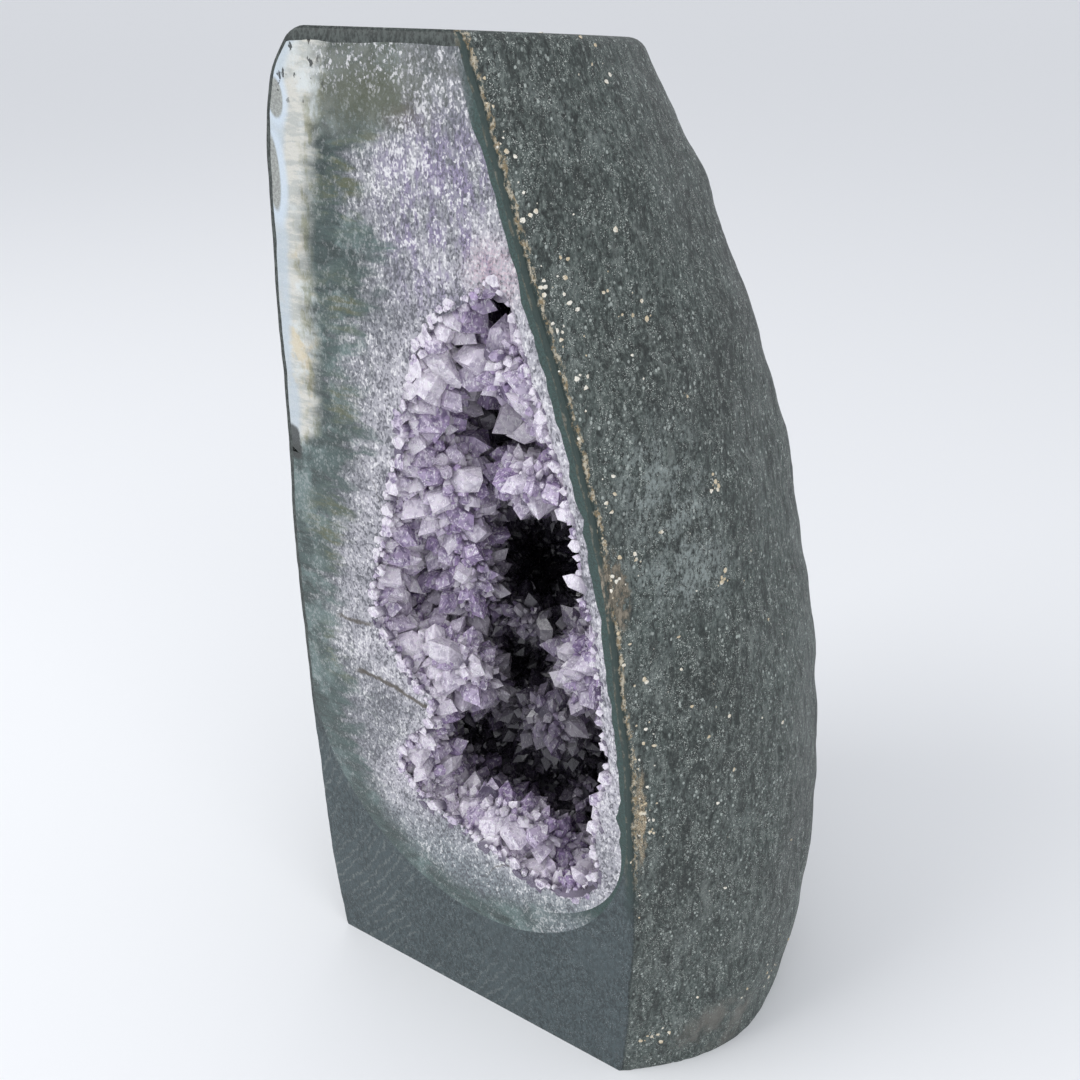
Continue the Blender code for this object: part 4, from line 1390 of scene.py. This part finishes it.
def makePatch(lumps, dark):
    # the wall that the crystals grow on, with how deep it lies and how large they grow at each point
    points, grid = stitch(lumps)
    gap = np.repeat(np.arange(len(lumps)), len(bearing))
    deep = np.concatenate(dark)
    onRim = gap < len(lumps) - len(wallRows) + 1
    grow = 1.05 - 0.42 * np.clip((deep - 6) / 38, 0, 1)
    grow = np.where(onRim, 0.55, grow)
    for *oval, change in crystals["patches"]:
        grow += change * humpAt(points[:, 0], points[:, 2], *oval)
    eye = hollow["eye"]
    seenAt = eye[1] / (eye[1] - points[:, 1])
    faceA = eye[0] + (points[:, 0] - eye[0]) * seenAt
    faceZ = eye[2] + (points[:, 2] - eye[2]) * seenAt
    # darker amethyst on the knobs and painted shade round the pockets, added to the depth that the crystals'
    # painted depth shade reads
    for *oval, extra in crystals["darkAmethystAndPocketShade"]:
        deep = deep + extra * humpAt(faceA, faceZ, *oval, 1.4)
    patch = makeObject("wallPatch", points, closeFaces(grid, flip=True), {"deep": deep, "grow": grow})
    weld(patch)
    return patch


def growCrystals(patch):
    shapes = bpy.data.collections.new("crystalShapes")
    for number in range(crystals["variants"]):
        shapes.objects.link(crystalShape(number))
    material = crystalMaterial()
    tree, names = crystalTree(shapes, material)
    found, faces = [], []
    values = {"tone": [], "deep": [], "tip": []}
    total = 0
    for coat in crystals["coats"]:
        mesh = growOn(patch, tree, names, {
            "Spacing": coat["spacing"] / 1000, "Smallest": coat["low"] / 1000,
            "Largest": coat["high"] / 1000, "Tilt": crystals["tilt"], "Seed": coat["seed"]})
        found.append(pointsOf(mesh))
        for key in values:
            read = np.empty(len(mesh.vertices), np.float32)
            mesh.attributes[key].data.foreach_get("value", read)
            values[key].append(read)
        faces += [tuple(v + total for v in f.vertices) for f in mesh.polygons]
        total += len(mesh.vertices)
        print("crystals in this coat:", len(mesh.vertices) // crystalPoints)
        bpy.data.meshes.remove(mesh)
    bpy.data.objects.remove(patch)
    clearAway(shapes, tree)
    points = np.concatenate(found)
    # the saw took off whatever stood proud of the cut face
    points[:, 1] = np.maximum(points[:, 1], stone["corner"][1] / 1000 + sawnClear)
    return points, {key: np.concatenate(parts) for key, parts in values.items()}, faces, material


def shareCrystals(grown):
    # each crystal goes to the cluster it is nearest to
    points, values, faces, material = grown
    clusters = sorted(name for name in frame["nodes"] if name.startswith("amethyst_cluster"))
    middles = np.array([[sum(pair) / 2 for pair in zip(*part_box(name))] for name in clusters])
    each = points.reshape(-1, crystalPoints, 3)
    roots = each.mean(axis=1)
    away = ((roots[:, None, :] - middles[None]) ** 2 * [1, 0.35, 1]).sum(axis=2)
    owner = away.argmin(axis=1)
    # none may come out through the stone beside the hollow
    reach = each.max(axis=1)[:, 0] * 1000 - stone["corner"][0]
    owner[reach > rightEdgeAt(roots[:, 2] * 1000) - crystals["sideRoom"]] = -1
    facesOf = [[] for _ in clusters]
    for face in faces:
        number = owner[face[0] // crystalPoints]
        if number >= 0:
            facesOf[number].append(face)
    for number, name in enumerate(clusters):
        mine = np.where(np.repeat(owner, crystalPoints) == number)[0]
        renumber = np.zeros(len(points), int)
        renumber[mine] = np.arange(len(mine))
        mesh = bpy.data.meshes.new("amethystCluster%02d" % (number + 1))
        mesh.from_pydata([tuple(p) for p in points[mine]], [],
                         [tuple(int(renumber[v]) for v in f) for f in facesOf[number]])
        addLayers(mesh, {key: read[mine] for key, read in values.items()})
        mesh.materials.append(material)
        mesh.update()
        piece = bpy.data.objects.new(mesh.name, mesh)
        bpy.context.scene.collection.objects.link(piece)
        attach(piece, "root")
        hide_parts(name)
    return len(clusters)


amethyst = shareCrystals(growCrystals(makePatch(wallLumps, lumpDark)))
print("crystals grown on", amethyst, "clusters")

studio = {
    "focal": 36.67,
    "pitch": 27.3,
    "turn": 32.49,
    "floor": (0.86, 0.87, 0.88),
    "sky": (0.93, 0.95, 1.0),
    "skyStrength": 0.82,
}
bpy.context.scene.view_settings.view_transform = "Standard"
bpy.ops.mesh.primitive_plane_add(size=60, location=(0, 0, 0))
floor = bpy.context.object
floor.name = "paleFloor"
floorMat, _, floorShader = addMaterial("floorMat")
fill(floorShader, {"Base Color": studio["floor"], "Roughness": 0.6})
floor.data.materials.append(floorMat)

world = bpy.data.worlds.new("studioWorld")
bpy.context.scene.world = world
world.use_nodes = True
fill(world.node_tree.nodes["Background"], {"Color": studio["sky"], "Strength": studio["skyStrength"]})


def areaLight(name, spot, aim, size, power, colour=(1, 1, 1)):
    data = bpy.data.lights.new(name, "AREA")
    data.shape = "RECTANGLE"
    data.size, data.size_y = size
    data.energy = power
    data.color = colour
    lamp = bpy.data.objects.new(name, data)
    lamp.location = spot
    lamp.rotation_euler = (Vector(aim) - Vector(spot)).to_track_quat("-Z", "Y").to_euler()
    bpy.context.scene.collection.objects.link(lamp)


areaLight("keyLight", (-0.9, -1.1, 1.5), (0, 0, 0.2), (1.0, 1.0), 15)
areaLight("fillLight", (1.4, -0.9, 1.1), (0, 0, 0.2), (1.2, 1.2), 6)

eyeSpot = toWorld([hollow["eye"]])[0]
camera = bpy.data.objects.new("studioCamera", bpy.data.cameras.new("studioCamera"))
camera.data.lens = studio["focal"]
camera.data.sensor_width = 36
camera.data.clip_start = 0.01
camera.location = eyeSpot
turn = math.radians(studio["turn"])
pitch = math.radians(studio["pitch"])
# looks left and back, and down
look = Vector((-math.sin(turn) * math.cos(pitch), math.cos(turn) * math.cos(pitch), -math.sin(pitch)))
camera.rotation_euler = look.to_track_quat("-Z", "Y").to_euler()
bpy.context.scene.collection.objects.link(camera)
bpy.context.scene.camera = camera
